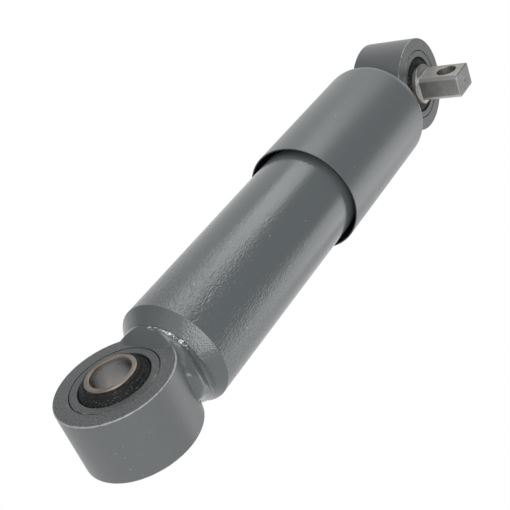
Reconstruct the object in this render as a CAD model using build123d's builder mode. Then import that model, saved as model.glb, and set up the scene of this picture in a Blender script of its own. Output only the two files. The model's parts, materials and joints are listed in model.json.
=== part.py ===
"""Twin-tube telescopic shock absorber with a rubber-bushed eye at each end.

The lower eye takes a bolt through a steel inner sleeve. The upper eye holds a
forged bar pin whose two flattened ends are bolted to a bracket. Inside are the
pressure tube, the piston with its valves, the base valve and the rod guide.

Units are millimetres. The origin is the centre of the lower eye. Z runs along
the damper to the upper eye, X along the lower bore and Y along the bar pin.
The damper is drawn fully extended.
"""
import os

from build123d import *

# Working travel and the gaps left at its two ends
stroke = 90.0
bottom_gap = 2.5
stop_gap = 0.3
cap_gap = 14.0
dust_overlap = 19.6

# Fits between pieces that move on each other
running_gap = 0.05
band_side_gap = 0.1
free_gap = 0.3

# Eyes
eye_outer_radius = 35.0
eye_wall = 9.0
eye_width = 40.0
eye_edge_radius = 1.2
eye_bore_chamfer = 0.6

# Rubber bushes
sleeve_wall = 1.4
sleeve_recess = 0.65
sleeve_lip_width = 5.0
sleeve_bend_radius = 1.0
inner_sleeve_radius = 15.0
inner_sleeve_bore_radius = 12.0
inner_sleeve_length = 50.0
inner_sleeve_edge_width = 1.0
rubber_lip_width = 1.4
rubber_shoulder_width = 0.4
lower_rubber_length = 24.0
upper_rubber_length = 20.6

# Bar pin
pin_radius = inner_sleeve_radius
pin_length = 112.0
pin_round_length = 22.5
pin_ramp_length = 2.4
tang_thickness = 18.0
tang_width = 23.5
tang_root_radius = 13.7
tang_tip_radius = 14.5
tang_edge_chamfer = 0.7
pin_hole_radius = 7.15
pin_hole_end_distance = 12.5
pin_hole_chamfer = 0.5
centre_mark_radius = 1.6

# Reservoir tube and base cap; the eyes are as wide as the reservoir tube
reservoir_radius = eye_outer_radius
reservoir_wall = 2.5
shoulder_relief = 0.01
skirt_edge_radius = 0.8
rim_bend_radius = 4.0
rim_lap_width = 4.5
base_shoulder_radius = 8.5
base_cap_wall = 4.0
base_skirt_wall = 3.5
base_skirt_length = 10.0

# Weld neck between each eye and its cap; the upper one is slimmer
weld_rise_height = 1.6
weld_toe_inset_along = 7.8
weld_toe_inset_across = 4.6
weld_belly_inset_across = 3.6
weld_waist_inset_across = 4.8
weld_foot_inset_across = 3.2
weld_belly_depth = 2.5
weld_face_depth = 8.0
weld_waist_depth = 13.5
weld_foot_depth = 21.0
weld_face_inset = 0.6
weld_toe_flat_width = 1.7
weld_face_flat_width = 0.6
weld_foot_flat_width = 5.4
upper_weld_trim = 6.0

# Dust tube and dust cap
dust_gap = 3.0
dust_wall = 1.5
dust_lip_edge_radius = 0.5
dust_shoulder_radius = 12.0
dust_cap_wall = 3.0
dust_skirt_length = 10.0

# Pressure tube and base valve
tube_bore_radius = 22.5
tube_wall = 2.0
valve_foot_height = 8.0
valve_foot_ring_width = 5.5
valve_plate_height = 5.0
valve_spigot_height = 4.0
valve_spigot_wall = 1.9
valve_flange_width = 1.0
foot_slot_width = 8.0
foot_slot_height = 5.0
foot_slot_count = 6
intake_hole_radius = 2.2
intake_hole_count = 8
bleed_hole_radius = 1.5
bleed_circle_radius = 8.3
bleed_hole_count = 4
valve_bolt_radius = 3.0
valve_bolt_tip_length = 0.8
valve_bolt_head_height = 4.0
valve_bolt_head_flats = 10.0
valve_nut_height = 4.5
valve_nut_flats = 10.0
valve_disc_radius = 12.0
collar_radius = 5.5
collar_height = 3.0
intake_plate_inner_radius = 11.0
intake_plate_gap = 0.6
intake_plate_height = 1.0
intake_tab_width = 3.0

# Thin valve discs and star springs, used at both valves
disc_height = 0.5
disc_count = 3
disc_step_width = 1.6
spring_thickness = 0.5
spring_arm_width = 3.6
spring_arm_count = 3

# Piston
piston_side_gap = 0.3
piston_height = 18.0
piston_boss_radius = 10.5
piston_boss_height = 3.0
band_height = 12.0
band_thickness = 1.7
band_split_width = 1.2
compression_hole_radius = 1.8
rebound_hole_radius = 1.5
rebound_circle_radius = 12.6
piston_hole_count = 8
piston_disc_radius = 15.0
check_plate_inner_radius = 14.9
check_plate_gap = 1.9
check_plate_height = 1.0
check_tab_width = 4.0
support_washer_radius = 14.5
support_washer_height = 3.0
backing_washer_radius = 10.5
backing_washer_height = 2.0
piston_nut_flats = 22.0
piston_nut_height = 9.0
cushion_radius = 15.5
cushion_height = 7.7
cushion_groove = 1.2

# Piston rod
rod_radius = 10.0
rod_spigot_radius = 7.0
rod_thread_end = 1.5
rod_top_spigot_radius = 8.0
rod_chamfer = 0.8
rod_weld_leg = 4.0

# Rod guide and seal
guide_height = 15.0
guide_spigot_length = 6.0
guide_flange_height = 7.0
guide_cone_drop = 2.0
guide_bush_wall = 1.45
guide_edge_width = 0.5
seal_pocket_radius = 17.0
seal_pocket_depth = 3.5
o_ring_radius = 1.5
o_ring_groove_width = 3.4
o_ring_drop = 3.0
return_hole_radius = 1.6
return_circle_radius = 27.0
return_hole_count = 3
return_groove_depth = 1.2
seal_radius = 20.0
seal_height = 4.5
seal_waist_width = 1.2
seal_lip_height = 2.6
seal_lip_thickness = 3.35
seal_dust_lip_height = 2.6
garter_radius = 0.8
retainer_web = 1.0
retainer_gap = 0.5

# Levels up the axis, from the lower eye to the upper one
base_seat = eye_outer_radius
base_shoulder_top = base_seat + base_shoulder_radius
base_floor = base_seat + base_cap_wall
valve_plate_bottom = base_floor + valve_foot_height
valve_plate_top = valve_plate_bottom + valve_plate_height
valve_collar_top = valve_plate_top + collar_height
valve_bolt_top = valve_collar_top + spring_thickness + valve_bolt_head_height
disc_stack = disc_count * disc_height
rod_spigot_length = (
    rod_thread_end
    + piston_nut_height
    + backing_washer_height
    + disc_stack
    + piston_height
    + piston_boss_height
    + support_washer_height
)
rod_end = valve_bolt_top + bottom_gap + stroke
nut_bottom = rod_end + rod_thread_end
backing_bottom = nut_bottom + piston_nut_height
piston_discs_bottom = backing_bottom + backing_washer_height
piston_bottom = piston_discs_bottom + disc_stack
piston_top = piston_bottom + piston_height
support_bottom = piston_top + piston_boss_height
rod_shoulder = rod_end + rod_spigot_length
cushion_top = rod_shoulder + cushion_height
guide_bottom = cushion_top + stop_gap
guide_ledge = guide_bottom + guide_spigot_length
guide_top = guide_bottom + guide_height
retainer_height = seal_height + retainer_web
rim_underside = guide_top + retainer_height
reservoir_top = rim_underside + reservoir_wall
dust_rim = reservoir_top - dust_overlap
dust_ceiling = reservoir_top + cap_gap + stroke
upper_seat = dust_ceiling + dust_cap_wall
dust_shoulder_bottom = upper_seat - dust_shoulder_radius
eye_spacing = upper_seat + eye_outer_radius

# Radii and spacings that follow from the sizes above
eye_bore_radius = eye_outer_radius - eye_wall
sleeve_lip_radius = eye_bore_radius - sleeve_lip_width
pin_hole_spacing = pin_length - 2 * pin_hole_end_distance
intake_plate_outer_radius = tube_bore_radius - valve_spigot_wall - intake_plate_gap
intake_circle_radius = (intake_plate_inner_radius + intake_plate_outer_radius) / 2
check_plate_outer_radius = tube_bore_radius - check_plate_gap
compression_circle_radius = (check_plate_inner_radius + check_plate_outer_radius) / 2
reservoir_inner = reservoir_radius - reservoir_wall
rim_inner_radius = reservoir_inner - rim_lap_width
tube_outer_radius = tube_bore_radius + tube_wall
piston_radius = tube_bore_radius - piston_side_gap
dust_inner = reservoir_radius + dust_gap
dust_radius = dust_inner + dust_wall
sleeve_half_length = eye_width / 2 - sleeve_recess
seal_bore = rod_radius + running_gap
base_inner_radius = reservoir_inner - base_skirt_wall

lower_centre = Vector(0, 0, 0)
upper_centre = Vector(0, 0, eye_spacing)
across_x = Vector(1, 0, 0)
across_y = Vector(0, 1, 0)
upward = Vector(0, 0, 1)

pieces = []


def rims(block, radius):
    """The circular edges of one radius on the piece being built."""
    circles = block.edges().filter_by(GeomType.CIRCLE)
    return circles.filter_by(lambda edge: abs(edge.radius - radius) < 0.001)


def eye_blank(centre, bore_direction):
    """A solid eye with rounded outer edges, before it is bored."""
    with BuildPart() as blank:
        with BuildSketch(Plane(origin=centre, z_dir=bore_direction)):
            Circle(eye_outer_radius)
        extrude(amount=eye_width / 2, both=True)
        fillet(blank.edges().filter_by(GeomType.CIRCLE), eye_edge_radius)
    return blank.part


def weld_sections(trim):
    """Depth below the seat, half sizes along and across the bore, and corner radius.

    The trim is how much slimmer than the widest neck each section is, across the bore.
    """
    face_reach = eye_width / 2 - weld_face_inset
    hug_reach = face_reach + eye_edge_radius
    toe_along = eye_outer_radius - weld_toe_inset_along
    toe_across = eye_outer_radius - weld_toe_inset_across
    belly_along = toe_along - weld_rise_height
    belly_across = eye_outer_radius - weld_belly_inset_across
    toe_corner = toe_along - weld_toe_flat_width
    belly_corner = toe_corner - weld_rise_height
    face_corner = hug_reach - weld_face_flat_width
    foot_corner = face_reach - weld_foot_flat_width
    waist_across = eye_outer_radius - weld_waist_inset_across
    foot_across = eye_outer_radius - weld_foot_inset_across
    sections = (
        (-weld_rise_height, toe_along, toe_across, toe_corner),
        (weld_belly_depth, belly_along, belly_across, belly_corner),
        (weld_face_depth, hug_reach, belly_across, face_corner),
        (weld_waist_depth, face_reach, waist_across, foot_corner),
        (weld_foot_depth, face_reach, foot_across, foot_corner),
    )
    return [(depth, along, across - trim, corner - trim) for depth, along, across, corner in sections]


def star_spring(hub_inner, hub_outer, hub_bottom, arm_reach, arm_drop):
    """A sheet spring: a flat ring with arms that slope down to the plate below."""
    sheet_middle = hub_bottom + spring_thickness / 2
    arm_root = (hub_inner + hub_outer) / 2
    with BuildPart() as arm:
        with BuildSketch(Plane.XZ):
            with BuildLine():
                Polyline(
                    (arm_root, sheet_middle),
                    (hub_outer, sheet_middle),
                    (arm_reach, sheet_middle - arm_drop),
                )
            trace(line_width=spring_thickness)
        extrude(amount=spring_arm_width / 2, both=True)
    with BuildPart() as spring:
        with BuildSketch(Plane.XY.offset(hub_bottom)):
            Circle(hub_outer)
            Circle(hub_inner, mode=Mode.SUBTRACT)
        extrude(amount=spring_thickness)
        with PolarLocations(0, spring_arm_count):
            add(arm.part)
    return spring.part


def disc_pile(bottom, hole_radius, widest, widest_on_top):
    """Thin valve discs lying on each other, each one smaller than the last."""
    with BuildPart() as pile:
        for index in range(disc_count):
            level = disc_count - 1 - index if widest_on_top else index
            with BuildSketch(Plane.XY.offset(bottom + level * disc_height)):
                Circle(widest - index * disc_step_width)
                Circle(hole_radius, mode=Mode.SUBTRACT)
            extrude(amount=disc_height)
    return pile.part


# The steel sleeve that the lower mounting bolt clamps
with BuildPart() as lower_inner_sleeve:
    with BuildSketch(Plane.YZ.offset(-inner_sleeve_length / 2)):
        Circle(inner_sleeve_radius)
        Circle(inner_sleeve_bore_radius, mode=Mode.SUBTRACT)
    extrude(amount=inner_sleeve_length)
    chamfer(rims(lower_inner_sleeve, inner_sleeve_radius), inner_sleeve_edge_width)
    chamfer(rims(lower_inner_sleeve, inner_sleeve_bore_radius), inner_sleeve_edge_width / 2)
lower_inner_sleeve.part.label = "lower_inner_sleeve"
pieces.append(lower_inner_sleeve)

# Base cap, pressed from sheet, with a skirt that locates in the reservoir tube
with BuildPart() as base_cap:
    with BuildSketch(Plane.XZ):
        with BuildLine():
            FilletPolyline(
                (0, base_seat),
                (reservoir_radius, base_seat),
                (reservoir_radius, base_shoulder_top),
                (reservoir_inner, base_shoulder_top),
                (reservoir_inner, base_shoulder_top + base_skirt_length),
                (base_inner_radius, base_shoulder_top + base_skirt_length),
                (base_inner_radius, base_floor),
                (0, base_floor),
                radius=[
                    0,
                    base_shoulder_radius - shoulder_relief,
                    0,
                    0,
                    skirt_edge_radius,
                    0,
                    base_cap_wall,
                    0,
                ],
                close=True,
            )
        make_face()
    revolve(axis=Axis.Z)
base_cap.part.label = "base_cap"
pieces.append(base_cap)

# Reservoir tube, its top edge rolled in over the seal retainer
with BuildPart() as reservoir_tube:
    with BuildSketch(Plane.XZ):
        wall_middle = reservoir_radius - reservoir_wall / 2
        rim_middle = reservoir_top - reservoir_wall / 2
        with BuildLine():
            FilletPolyline(
                (wall_middle, base_shoulder_top),
                (wall_middle, rim_middle),
                (rim_inner_radius, rim_middle),
                radius=rim_bend_radius,
            )
        trace(line_width=reservoir_wall)
    revolve(axis=Axis.Z)
reservoir_tube.part.label = "reservoir_tube"
pieces.append(reservoir_tube)

# Base valve body: a plate with two rings of ports on a slotted foot ring
with BuildPart() as base_valve_body:
    foot_outer = base_inner_radius - base_cap_wall
    foot_inner = foot_outer - valve_foot_ring_width
    flange_radius = tube_outer_radius + valve_flange_width
    spigot_top = valve_plate_top + valve_spigot_height
    spigot_inner = tube_bore_radius - valve_spigot_wall
    with BuildSketch(Plane.XZ):
        with BuildLine():
            Polyline(
                (valve_bolt_radius, valve_plate_bottom),
                (foot_inner, valve_plate_bottom),
                (foot_inner, base_floor),
                (foot_outer, base_floor),
                (foot_outer, valve_plate_bottom),
                (flange_radius, valve_plate_bottom + valve_flange_width),
                (flange_radius, valve_plate_top),
                (tube_bore_radius, valve_plate_top),
                (tube_bore_radius, spigot_top),
                (spigot_inner, spigot_top),
                (spigot_inner, valve_plate_top),
                (valve_bolt_radius, valve_plate_top),
                close=True,
            )
        make_face()
    revolve(axis=Axis.Z)
    with BuildSketch(Plane.XY.offset(base_floor)):
        with PolarLocations((foot_outer + foot_inner) / 2, foot_slot_count):
            Rectangle(2 * valve_foot_ring_width, foot_slot_width)
    extrude(amount=foot_slot_height, mode=Mode.SUBTRACT)
    with BuildSketch(Plane.XY.offset(valve_plate_bottom)):
        with PolarLocations(intake_circle_radius, intake_hole_count):
            Circle(intake_hole_radius)
        with PolarLocations(bleed_circle_radius, bleed_hole_count):
            Circle(bleed_hole_radius)
    extrude(amount=valve_plate_height, mode=Mode.SUBTRACT)
base_valve_body.part.label = "base_valve_body"
pieces.append(base_valve_body)

# Compression discs under the base valve, which close the bleed ports
with BuildPart() as base_valve_discs:
    add(disc_pile(valve_plate_bottom - disc_stack, valve_bolt_radius, valve_disc_radius, True))
base_valve_discs.part.label = "base_valve_discs"
pieces.append(base_valve_discs)

# Bolt through the base valve, its head on the star spring
with BuildPart() as base_valve_bolt:
    head_bottom = valve_bolt_top - valve_bolt_head_height
    bolt_bottom = valve_plate_bottom - disc_stack - valve_nut_height - valve_bolt_tip_length
    with BuildSketch(Plane.XY.offset(bolt_bottom)):
        Circle(valve_bolt_radius)
    extrude(amount=head_bottom - bolt_bottom)
    with BuildSketch(Plane.XY.offset(head_bottom)):
        RegularPolygon(valve_bolt_head_flats / 2, 6, major_radius=False)
    extrude(amount=valve_bolt_head_height)
    chamfer(base_valve_bolt.faces().sort_by(Axis.Z)[0].edges(), valve_bolt_tip_length / 2)
base_valve_bolt.part.label = "base_valve_bolt"
pieces.append(base_valve_bolt)

with BuildPart() as base_valve_nut:
    with BuildSketch(Plane.XY.offset(valve_plate_bottom - disc_stack - valve_nut_height)):
        RegularPolygon(valve_nut_flats / 2, 6, major_radius=False)
        Circle(valve_bolt_radius, mode=Mode.SUBTRACT)
    extrude(amount=valve_nut_height)
base_valve_nut.part.label = "base_valve_nut"
pieces.append(base_valve_nut)

# Collar that holds the star spring above the intake plate and centres the plate
with BuildPart() as base_valve_collar:
    with BuildSketch(Plane.XY.offset(valve_plate_top)):
        Circle(collar_radius)
        Circle(valve_bolt_radius, mode=Mode.SUBTRACT)
    extrude(amount=collar_height)
base_valve_collar.part.label = "base_valve_collar"
pieces.append(base_valve_collar)

# Intake plate: a ring over the outer ports, centred by three tabs on the collar
with BuildPart() as foot_intake_plate:
    tab_tip = collar_radius + free_gap
    with BuildSketch(Plane.XY.offset(valve_plate_top)):
        Circle(intake_plate_outer_radius)
        Circle(intake_plate_inner_radius, mode=Mode.SUBTRACT)
        with PolarLocations(0, spring_arm_count, start_angle=60):
            with Locations(((tab_tip + intake_circle_radius) / 2, 0)):
                Rectangle(intake_circle_radius - tab_tip, intake_tab_width)
    extrude(amount=intake_plate_height)
foot_intake_plate.part.label = "foot_intake_plate"
pieces.append(foot_intake_plate)

# Star spring that presses the intake plate shut
with BuildPart() as foot_intake_spring:
    intake_reach = intake_circle_radius
    intake_drop = collar_height - intake_plate_height
    add(star_spring(valve_bolt_radius, collar_radius, valve_collar_top, intake_reach, intake_drop))
foot_intake_spring.part.label = "foot_intake_spring"
pieces.append(foot_intake_spring)

# Pressure tube, held between the base valve and the rod guide
with BuildPart() as pressure_tube:
    with BuildSketch(Plane.XY.offset(valve_plate_top)):
        Circle(tube_outer_radius)
        Circle(tube_bore_radius, mode=Mode.SUBTRACT)
    extrude(amount=guide_ledge - valve_plate_top)
pressure_tube.part.label = "pressure_tube"
pieces.append(pressure_tube)

# Rod guide with the O-ring groove, the seal pocket and the oil return holes
with BuildPart() as rod_guide:
    guide_bore = rod_radius + running_gap + guide_bush_wall
    flange_bottom = guide_top - guide_flange_height
    groove_floor = reservoir_inner - 2 * o_ring_radius
    groove_middle = guide_top - o_ring_drop
    groove_half = o_ring_groove_width / 2
    pocket_floor = guide_top - seal_pocket_depth
    cone_radius = tube_outer_radius + valve_flange_width
    with BuildSketch(Plane.XZ):
        with BuildLine():
            Polyline(
                (guide_bore, guide_bottom),
                (tube_bore_radius - guide_edge_width, guide_bottom),
                (tube_bore_radius, guide_bottom + guide_edge_width),
                (tube_bore_radius, guide_ledge),
                (cone_radius, guide_ledge),
                (reservoir_inner, flange_bottom + guide_cone_drop / 2),
                (reservoir_inner, groove_middle - groove_half),
                (groove_floor, groove_middle - groove_half),
                (groove_floor, groove_middle + groove_half),
                (reservoir_inner, groove_middle + groove_half),
                (reservoir_inner, guide_top),
                (seal_pocket_radius, guide_top),
                (seal_pocket_radius, pocket_floor),
                (guide_bore, pocket_floor),
                close=True,
            )
        make_face()
    revolve(axis=Axis.Z)
    with BuildSketch(Plane.XY.offset(guide_top)):
        with PolarLocations(return_circle_radius, return_hole_count):
            Circle(return_hole_radius)
    extrude(amount=-(guide_top - guide_ledge), mode=Mode.SUBTRACT)
    with BuildSketch(Plane.XY.offset(guide_top)):
        with PolarLocations((seal_pocket_radius + return_circle_radius) / 2, return_hole_count):
            groove_length = return_circle_radius - seal_pocket_radius + return_hole_radius
            Rectangle(groove_length, 2 * return_hole_radius)
    extrude(amount=-return_groove_depth, mode=Mode.SUBTRACT)
rod_guide.part.label = "rod_guide"
pieces.append(rod_guide)

# Split bush in the rod guide, the bearing that the rod slides in
with BuildPart() as guide_bush:
    bush_top = guide_top - seal_pocket_depth
    bush_bottom = guide_bottom + guide_edge_width
    with BuildSketch(Plane.XY.offset(bush_bottom)):
        Circle(guide_bore)
        Circle(seal_bore, mode=Mode.SUBTRACT)
        with Locations((rod_radius + guide_bush_wall / 2, 0)):
            Rectangle(2 * guide_bush_wall, band_split_width / 2, mode=Mode.SUBTRACT)
    extrude(amount=bush_top - bush_bottom)
guide_bush.part.label = "guide_bush"
pieces.append(guide_bush)

# O-ring between the rod guide and the reservoir tube
with BuildPart() as guide_o_ring:
    with BuildSketch(Plane.XZ):
        with Locations((reservoir_inner - o_ring_radius, groove_middle)):
            Circle(o_ring_radius)
    revolve(axis=Axis.Z)
guide_o_ring.part.label = "guide_o_ring"
pieces.append(guide_o_ring)

# Rod seal: a moulded ring with an oil lip below and a dust lip above
with BuildPart() as rod_seal:
    lip_outer = seal_bore + seal_lip_thickness
    seal_throat = seal_bore + seal_waist_width
    seal_top = guide_top + seal_height
    with BuildSketch(Plane.XZ):
        with BuildLine():
            Polyline(
                (seal_radius, guide_top),
                (seal_radius, seal_top),
                (lip_outer, seal_top),
                (seal_throat + seal_waist_width, seal_top + seal_dust_lip_height / 2),
                (seal_bore, seal_top + seal_dust_lip_height),
                (seal_throat, seal_top),
                (seal_throat, guide_top + seal_waist_width),
                (seal_bore, guide_top - seal_lip_height / 2),
                (seal_throat, guide_top - seal_lip_height),
                (lip_outer, guide_top - seal_lip_height),
                (lip_outer, guide_top),
                close=True,
            )
        make_face()
    revolve(axis=Axis.Z)
rod_seal.part.label = "rod_seal"
pieces.append(rod_seal)

# Garter spring that squeezes the oil lip onto the rod
with BuildPart() as seal_garter_spring:
    with BuildSketch(Plane.XZ):
        with Locations((lip_outer + garter_radius, guide_top - seal_lip_height / 2)):
            Circle(garter_radius)
    revolve(axis=Axis.Z)
seal_garter_spring.part.label = "seal_garter_spring"
pieces.append(seal_garter_spring)

# Steel retainer over the seal, held down by the rolled rim of the reservoir tube
with BuildPart() as seal_retainer:
    with BuildSketch(Plane.XZ):
        with BuildLine():
            FilletPolyline(
                (seal_radius, guide_top),
                (reservoir_inner, guide_top),
                (reservoir_inner, rim_underside),
                (lip_outer + retainer_gap, rim_underside),
                (lip_outer + retainer_gap, seal_top),
                (seal_radius, seal_top),
                radius=[0, 0, rim_bend_radius - reservoir_wall / 2, 0, 0, 0],
                close=True,
            )
        make_face()
    revolve(axis=Axis.Z)
seal_retainer.part.label = "seal_retainer"
pieces.append(seal_retainer)

# Split band round the piston, which slides in the pressure tube
with BuildPart() as piston_band:
    band_bottom = piston_bottom + (piston_height - band_height) / 2
    band_outer = tube_bore_radius - running_gap
    with BuildSketch(Plane.XY.offset(band_bottom)):
        Circle(band_outer)
        Circle(band_outer - band_thickness, mode=Mode.SUBTRACT)
        with Locations((band_outer, 0)):
            Rectangle(3 * band_thickness, band_split_width, mode=Mode.SUBTRACT)
    extrude(amount=band_height)
piston_band.part.label = "piston_band"
pieces.append(piston_band)

# Piston with its band groove and two rings of ports
with BuildPart() as piston:
    groove_radius = band_outer - band_thickness - running_gap
    with BuildSketch(Plane.XZ):
        with BuildLine():
            Polyline(
                (rod_spigot_radius, piston_bottom),
                (piston_radius, piston_bottom),
                (piston_radius, band_bottom - band_side_gap),
                (groove_radius, band_bottom - band_side_gap),
                (groove_radius, band_bottom + band_height + band_side_gap),
                (piston_radius, band_bottom + band_height + band_side_gap),
                (piston_radius, piston_top),
                (piston_boss_radius, piston_top),
                (piston_boss_radius, support_bottom),
                (rod_spigot_radius, support_bottom),
                close=True,
            )
        make_face()
    revolve(axis=Axis.Z)
    with BuildSketch(Plane.XY.offset(piston_bottom)):
        with PolarLocations(compression_circle_radius, piston_hole_count):
            Circle(compression_hole_radius)
        with PolarLocations(rebound_circle_radius, piston_hole_count):
            Circle(rebound_hole_radius)
    extrude(amount=piston_height, mode=Mode.SUBTRACT)
piston.part.label = "piston"
pieces.append(piston)

# Check plate: a ring over the outer piston ports, centred by tabs on the boss
with BuildPart() as piston_check_plate:
    tab_tip = piston_boss_radius + free_gap
    with BuildSketch(Plane.XY.offset(piston_top)):
        Circle(check_plate_outer_radius)
        Circle(check_plate_inner_radius, mode=Mode.SUBTRACT)
        with PolarLocations(0, spring_arm_count, start_angle=60):
            with Locations(((tab_tip + compression_circle_radius) / 2, 0)):
                Rectangle(compression_circle_radius - tab_tip, check_tab_width)
    extrude(amount=check_plate_height)
piston_check_plate.part.label = "piston_check_plate"
pieces.append(piston_check_plate)

# Star spring that presses the check plate onto the piston
with BuildPart() as piston_check_spring:
    check_hub_bottom = support_bottom - spring_thickness
    check_hub_outer = (piston_boss_radius + check_plate_inner_radius) / 2
    check_reach = compression_circle_radius
    check_drop = piston_boss_height - spring_thickness - check_plate_height
    add(
        star_spring(
            piston_boss_radius, check_hub_outer, check_hub_bottom, check_reach, check_drop
        )
    )
piston_check_spring.part.label = "piston_check_spring"
pieces.append(piston_check_spring)

# Washer clamped between the piston boss and the rod's shoulder
with BuildPart() as piston_support_washer:
    with BuildSketch(Plane.XY.offset(support_bottom)):
        Circle(support_washer_radius)
        Circle(rod_spigot_radius, mode=Mode.SUBTRACT)
    extrude(amount=support_washer_height)
piston_support_washer.part.label = "piston_support_washer"
pieces.append(piston_support_washer)

# Cushion ring that meets the rod guide at full extension
with BuildPart() as rebound_cushion:
    with BuildSketch(Plane.XZ):
        groove_centre = (rod_shoulder + cushion_top) / 2
        with BuildLine():
            Polyline(
                (rod_radius, rod_shoulder),
                (cushion_radius, rod_shoulder),
                (cushion_radius, groove_centre - cushion_groove),
                (cushion_radius - cushion_groove, groove_centre),
                (cushion_radius, groove_centre + cushion_groove),
                (cushion_radius, cushion_top - cushion_groove),
                (cushion_radius - cushion_groove, cushion_top),
                (rod_radius, cushion_top),
                close=True,
            )
        make_face()
    revolve(axis=Axis.Z)
rebound_cushion.part.label = "rebound_cushion"
pieces.append(rebound_cushion)

# Rebound discs under the piston, then the backing washer and the nut
with BuildPart() as piston_rebound_discs:
    add(disc_pile(piston_discs_bottom, rod_spigot_radius, piston_disc_radius, True))
piston_rebound_discs.part.label = "piston_rebound_discs"
pieces.append(piston_rebound_discs)

with BuildPart() as piston_backing_washer:
    with BuildSketch(Plane.XY.offset(backing_bottom)):
        Circle(backing_washer_radius)
        Circle(rod_spigot_radius, mode=Mode.SUBTRACT)
    extrude(amount=backing_washer_height)
piston_backing_washer.part.label = "piston_backing_washer"
pieces.append(piston_backing_washer)

with BuildPart() as piston_nut:
    with BuildSketch(Plane.XY.offset(nut_bottom)):
        RegularPolygon(piston_nut_flats / 2, 6, major_radius=False)
    extrude(amount=piston_nut_height)
    with BuildSketch(Plane.XZ):
        nut_corner = piston_nut_flats / 2 + rod_chamfer
        with BuildLine():
            Polyline(
                (0, nut_bottom),
                (piston_nut_flats / 2, nut_bottom),
                (nut_corner + rod_chamfer, nut_bottom + rod_chamfer),
                (nut_corner + rod_chamfer, backing_bottom),
                (0, backing_bottom),
                close=True,
            )
        make_face()
    revolve(axis=Axis.Z, mode=Mode.INTERSECT)
    with BuildSketch(Plane.XY.offset(nut_bottom)):
        Circle(rod_spigot_radius)
    extrude(amount=piston_nut_height, mode=Mode.SUBTRACT)
piston_nut.part.label = "piston_nut"
pieces.append(piston_nut)

upper_blank = eye_blank(upper_centre, across_y)
lower_blank = eye_blank(lower_centre, across_x)

# Piston rod, its top end coped to the upper eye that it is welded to
with BuildPart() as piston_rod:
    with BuildSketch(Plane.XZ):
        with BuildLine():
            Polyline(
                (0, rod_end),
                (rod_spigot_radius - rod_chamfer, rod_end),
                (rod_spigot_radius, rod_end + rod_chamfer),
                (rod_spigot_radius, rod_shoulder),
                (rod_radius, rod_shoulder),
                (rod_radius, dust_ceiling),
                (rod_top_spigot_radius, dust_ceiling),
                (rod_top_spigot_radius, upper_seat + rod_top_spigot_radius),
                (0, upper_seat + rod_top_spigot_radius),
                close=True,
            )
        make_face()
    revolve(axis=Axis.Z)
    add(upper_blank, mode=Mode.SUBTRACT)
piston_rod.part.label = "piston_rod"
pieces.append(piston_rod)

# Ring weld between the rod and the underside of the dust cap
with BuildPart() as rod_cap_weld:
    with BuildSketch(Plane.XZ):
        with BuildLine():
            Polyline(
                (rod_radius, dust_ceiling),
                (rod_radius + rod_weld_leg, dust_ceiling),
                (rod_radius, dust_ceiling - rod_weld_leg),
                close=True,
            )
        make_face()
    revolve(axis=Axis.Z)
rod_cap_weld.part.label = "rod_cap_weld"
pieces.append(rod_cap_weld)

# Dust cap, pressed from sheet, with a skirt inside the dust tube
with BuildPart() as dust_cap:
    dust_skirt_bottom = dust_shoulder_bottom - dust_skirt_length
    dust_skirt_inner = dust_inner - dust_cap_wall
    with BuildSketch(Plane.XZ):
        with BuildLine():
            FilletPolyline(
                (rod_top_spigot_radius, upper_seat),
                (dust_radius, upper_seat),
                (dust_radius, dust_shoulder_bottom),
                (dust_inner, dust_shoulder_bottom),
                (dust_inner, dust_skirt_bottom),
                (dust_skirt_inner, dust_skirt_bottom),
                (dust_skirt_inner, dust_ceiling),
                (rod_top_spigot_radius, dust_ceiling),
                radius=[
                    0,
                    dust_shoulder_radius - shoulder_relief,
                    0,
                    0,
                    skirt_edge_radius,
                    0,
                    dust_shoulder_radius - dust_cap_wall,
                    0,
                ],
                close=True,
            )
        make_face()
    revolve(axis=Axis.Z)
dust_cap.part.label = "dust_cap"
pieces.append(dust_cap)

# Dust tube, the edges of its open lip rounded
with BuildPart() as dust_tube:
    with BuildSketch(Plane.XZ):
        with BuildLine():
            FilletPolyline(
                (dust_inner, dust_rim),
                (dust_radius, dust_rim),
                (dust_radius, dust_shoulder_bottom),
                (dust_inner, dust_shoulder_bottom),
                radius=[dust_lip_edge_radius, dust_lip_edge_radius, 0, 0],
                close=True,
            )
        make_face()
    revolve(axis=Axis.Z)
dust_tube.part.label = "dust_tube"
pieces.append(dust_tube)

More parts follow.
